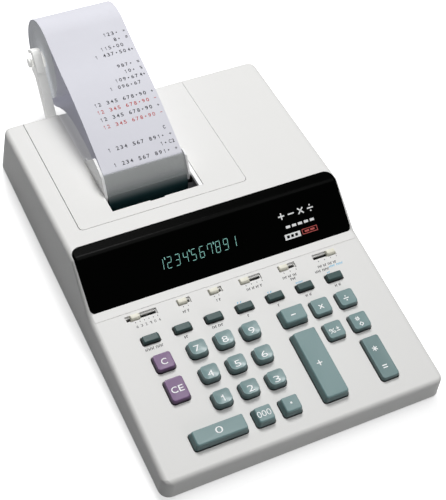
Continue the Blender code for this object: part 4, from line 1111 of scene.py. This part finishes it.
def smooth_path(points, steps):
    """Catmull-Rom curve through the points, with steps spans between each pair."""
    ends = [points[0]] + points + [points[-1]]
    result = []
    for a, b, c, d in zip(ends, ends[1:], ends[2:], ends[3:]):
        for i in range(steps):
            t = i / steps
            result.append(tuple(
                0.5 * (2 * b[k] + (c[k] - a[k]) * t + (2 * a[k] - 5 * b[k] + 4 * c[k] - d[k]) * t ** 2
                       + (3 * b[k] - a[k] - 3 * c[k] + d[k]) * t ** 3) for k in (0, 1)))
    return result + [points[-1]]


WRAP_R = ROLL_R + TAPE_GAP + PAPER_T / 2


def lower_path():
    feed = arc(ROLL_Y, ROLL_Z, WRAP_R, -70, -104, 10)
    turn_r = PLATEN_R + PLATEN_GAP
    over_case = smooth_path([feed[-1], (302.5, 33.4), (290.6, 41.8), (279.0, 48.8), (266.0, 52.6),
                             (250.0, 54.0), (234.0, 53.2), (221.5, 46.5), (214.4, 38.4),
                             (PLATEN_Y + turn_r, PLATEN_Z)], 8)
    under_platen = arc(PLATEN_Y, PLATEN_Z, turn_r, 0, -180, 24)
    up = smooth_path([under_platen[-1], (197.2, 38.4), (200.3, 44.5), (204.6, 50.4), (TEAR_Y, TEAR_Z)], 8)
    return feed[:-1] + over_case[:-1] + under_platen[:-1] + up[:-1]


def upper_path():
    back = arc(ROLL_Y, ROLL_Z, WRAP_R, 106, -38, 54)
    rise = smooth_path([(TEAR_Y, TEAR_Z), (228.0, 63.0), (250.0, 70.0), (272.0, 75.4), (294.0, 79.4),
                        back[0]], 8)
    return rise[:-1] + back


def build_tape():
    """One sheet along the paper's way, bent sharply over the tearing edge."""
    lower, upper = lower_path(), upper_path()
    path = lower + upper
    columns = 12
    bm = bmesh.new()
    rows = []
    for y, z in path:
        rows.append([bm.verts.new((PAPER_X0 + (PAPER_X1 - PAPER_X0) * i / columns, fy(y), fz(z)))
                     for i in range(columns + 1)])
    for low, high in zip(rows, rows[1:]):
        for i in range(columns):
            bm.faces.new((low[i], low[i + 1], high[i + 1], high[i]))
    crease = rows[len(lower)]
    for a, b in zip(crease, crease[1:]):
        bm.edges.get((a, b)).smooth = False
    tape = add_object("tape_sheet", bm, PAPER)
    # The paper in front of the tearing edge takes the painted shade of the printer's throat.
    tape.data.materials.append(SHADED_PAPER)
    for face in tape.data.polygons:
        if face.index < (len(lower) - 1) * columns and face.center.y < fy(TEAR_Y) * MM:
            face.material_index = 1
    tape.data.shade_smooth()
    shell = tape.modifiers.new("thickness", "SOLIDIFY")
    shell.thickness = SHEET_T * MM
    shell.offset = 0.0
    freeze(tape)
    smooth(tape, 40)
    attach(tape, "case")
    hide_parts("paper_tape")
    return upper


# Printed lines: distance of the baseline from the tearing edge, figures, sign, red or black.
PRINT_LINES = [
    (3.2, "1 234 567 891.", "*", False), (8.9, "1.", "C2", False), (14.4, "1 234 567 891.", "+", False),
    (20.1, "", "C ", False),
    (31.3, "12 345 678.90", "-", True), (37.1, "12 345 678.90", "+", False),
    (42.9, "12 345 678.90", "-", True), (48.6, "12 345 678.90", "+", False),
    (57.8, "1 096.67", "", False), (63.2, "109.67", "4+", False), (68.7, "10.", "%", False),
    (74.3, "987.", "=", False),
    (85.5, "1 437.50", "4+", False), (90.8, "115.00", "", False), (96.1, "8.", "=", False),
    (101.4, "123.", "x", False),
]
COLUMN_PITCH = 3.03
FIGURES_RIGHT = -4.9
SIGN_X = 0.7
FIGURE_W, FIGURE_H = 1.95, 2.85


def build_print(upper):
    lengths = [0.0]
    for (ya, za), (yb, zb) in zip(upper, upper[1:]):
        lengths.append(lengths[-1] + math.hypot(yb - ya, zb - za))

    def place(x, s):
        k = 1
        while k < len(lengths) - 1 and lengths[k] < s:
            k += 1
        t = (s - lengths[k - 1]) / (lengths[k] - lengths[k - 1])
        (ya, za), (yb, zb) = upper[k - 1], upper[k]
        slope = math.hypot(yb - ya, zb - za)
        ny, nz = -(zb - za) / slope, (yb - ya) / slope
        lift = SHEET_T / 2 + 0.03
        return Vector((x, fy(ya + (yb - ya) * t + ny * lift), fz(za + (zb - za) * t + nz * lift)))

    black, red = bmesh.new(), bmesh.new()
    for s, figures, sign, is_red in PRINT_LINES:
        bm = red if is_red else black
        for i, char in enumerate(reversed(figures)):
            x = FIGURES_RIGHT - COLUMN_PITCH * i
            if char == " ":
                continue
            if char == ".":
                text_shape(bm, char, x, s + FIGURE_H / 2, 1.05, 1.05, place)
            else:
                wide = 0.8 if char == "1" else FIGURE_W
                text_shape(bm, char, x, s + FIGURE_H / 2, wide, FIGURE_H, place, bold=0.015, cuts_over=1.5)
        for i, char in enumerate(sign):
            if char == " ":
                continue
            x = SIGN_X + (i - (len(sign) - 1)) * 2.3
            tall = 0.45 if char == "-" else 1.6 if char in "+=x*" else 2.7
            text_shape(bm, char, x, s + FIGURE_H / 2, 1.7, tall, place, bold=0.02, cuts_over=1.5)
    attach(add_object("tape_print_black", black, BLACK_PRINT), "case")
    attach(add_object("tape_print_red", red, RED_PRINT), "case")


def build_roll():
    middle = (PAPER_X0 + PAPER_X1) / 2
    half = (PAPER_X1 - PAPER_X0) / 2 - 0.2
    wavy = random.Random(7)
    ends = []
    steps = 36
    core_edge, turns_r, edge_r = CORE_R + 1.1, CORE_R + 1.2, ROLL_R - 0.3
    for i in range(steps + 1):
        radius = turns_r + (edge_r - turns_r) * i / steps
        ends.append((radius, half - 0.12 - 0.16 * wavy.random()))
    profile = [(CORE_R, half - 0.5), (CORE_R + 0.1, half - 0.25), (core_edge, half - 0.25)] + ends
    profile += [(ROLL_R, half), (ROLL_R, -half)] + [(r, -a) for r, a in reversed(ends)]
    profile += [(core_edge, -half + 0.25), (CORE_R + 0.1, -half + 0.25), (CORE_R, -half + 0.5)]
    roll = add_object("roll_of_paper", ring_bm(profile, 96, (middle, fy(ROLL_Y), fz(ROLL_Z))), PAPER)
    roll.data.materials.append(ROLL_END)
    for face in roll.data.polygons:
        if abs(face.normal.x) > 0.3:
            face.material_index = 1
    smooth(roll, 50)
    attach(roll, "roll")
    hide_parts("paper_roll")


# ---------------------------------------------------------------- CAD nodes that keep their shape

# Finish, rounding of the edges in millimetres, and the nodes that get them.
NODE_FINISHES = [
    (ARM_WHITE, 0.5, "holder_arm_left holder_arm_right"), (ARM_WHITE, 0.3, "roll_spindle"),
    (GUIDE_WHITE, 0.15, "paper_guide"), (SMOKED, 0.08, "tear_bar"), (CASE_WHITE, 0.4, "bottom_case"),
    (STEEL, 0.1, "printer_frame"), (STEEL, 0.3, "drive_motor"), (STEEL, 0.4, "transformer"),
    (DARK_PLASTIC, 0.2, "print_drum ribbon_spool_left ribbon_spool_right"),
    (DARK_PLASTIC, 0.3, "mains_inlet"), (BOARD, 0.1, "main_board"), (TUBE_GLASS, 0.2, "display_tube"),
    (RUBBER, 0.2, "platen_roller"),
    (RUBBER, 0.3, "key_mat foot_front_left foot_front_right foot_rear_left foot_rear_right"),
]
WELD_M = 0.000002


def dress_nodes():
    for finish, edge, names in NODE_FINISHES:
        for name in names.split():
            node = NODES[name]
            node.data.materials.clear()
            node.data.materials.append(finish)
            node.data.shade_smooth()
            node.modifiers.new("weld", "WELD").merge_threshold = WELD_M
            soften(node, edge, 35)
            node.modifiers.new("weighted", "WEIGHTED_NORMAL").keep_sharp = True


# ---------------------------------------------------------------- stage, light and camera

CAMERA_AT = Vector((-0.2759, -0.4886, 0.7130))
CAMERA_TO = Vector((0.00405, -0.0375, 0.0337))
CAMERA_ROLL = math.radians(8.2)
CAMERA_LENS = 92.5
# Name, place and target in metres, size, power in watts.
LIGHTS = [
    ("key_light", (0.20, 0.88, 1.55), (0, 0, 0), 0.5, 20.5),
    ("top_light", (0.50, 0.10, 1.9), (0, 0, 0), 1.0, 12.0),
    ("front_fill", (0.5, -1.8, 0.55), (0, 0, 0.03), 1.0, 5.0),
]
FLOOR_GLOW = 0.6
WORLD_COLOUR, WORLD_STRENGTH = (0.95, 0.98, 1.0), 0.09


def build_camera():
    cam = bpy.data.cameras.new("camera")
    obj = bpy.data.objects.new("camera", cam)
    bpy.context.scene.collection.objects.link(obj)
    forward = (CAMERA_TO - CAMERA_AT).normalized()
    right = forward.cross(Vector((0, 0, 1))).normalized()
    up = right.cross(forward)
    turned_right = right * math.cos(CAMERA_ROLL) + up * math.sin(CAMERA_ROLL)
    turned_up = -right * math.sin(CAMERA_ROLL) + up * math.cos(CAMERA_ROLL)
    obj.matrix_world = Matrix.Translation(CAMERA_AT) @ Matrix(
        (turned_right, turned_up, -forward)).transposed().to_4x4()
    cam.lens = CAMERA_LENS
    cam.sensor_width = 36.0
    cam.clip_start = 0.02
    bpy.context.scene.camera = obj


def area_light(name, at, towards, size, power):
    data = bpy.data.lights.new(name, "AREA")
    data.shape = "SQUARE"
    data.size = size
    data.energy = power
    obj = bpy.data.objects.new(name, data)
    bpy.context.scene.collection.objects.link(obj)
    obj.location = at
    obj.rotation_mode = "QUATERNION"
    obj.rotation_quaternion = (Vector(towards) - Vector(at)).to_track_quat("-Z", "Y")


def build_stage():
    bm = bmesh.new()
    bmesh.ops.create_grid(bm, x_segments=4, y_segments=4, size=4000.0)
    pale = plastic("floor_pale", (0.90, 0.90, 0.90), rough=0.9, vary=0.004, bump=0.0, specular=0.2)
    shader = pale.node_tree.nodes["Principled BSDF"]
    shader.inputs["Emission Color"].default_value = (1.0, 1.0, 1.0, 1)
    shader.inputs["Emission Strength"].default_value = FLOOR_GLOW
    floor = add_object("floor", bm, pale)
    floor.visible_diffuse = False
    world = bpy.data.worlds.new("studio")
    world.use_nodes = True
    background = world.node_tree.nodes["Background"]
    background.inputs["Color"].default_value = (*WORLD_COLOUR, 1)
    background.inputs["Strength"].default_value = WORLD_STRENGTH
    bpy.context.scene.world = world
    for light in LIGHTS:
        area_light(*light)
    bpy.context.scene.view_settings.view_transform = "Standard"


build_camera()
build_case()
build_keys()
build_slides()
build_deck_marks()
build_window_marks()
build_badge()
build_print(build_tape())
build_roll()
dress_nodes()
build_stage()
for cutter in list(SCRAP.objects):
    bpy.data.objects.remove(cutter, do_unlink=True)
bpy.data.collections.remove(SCRAP)
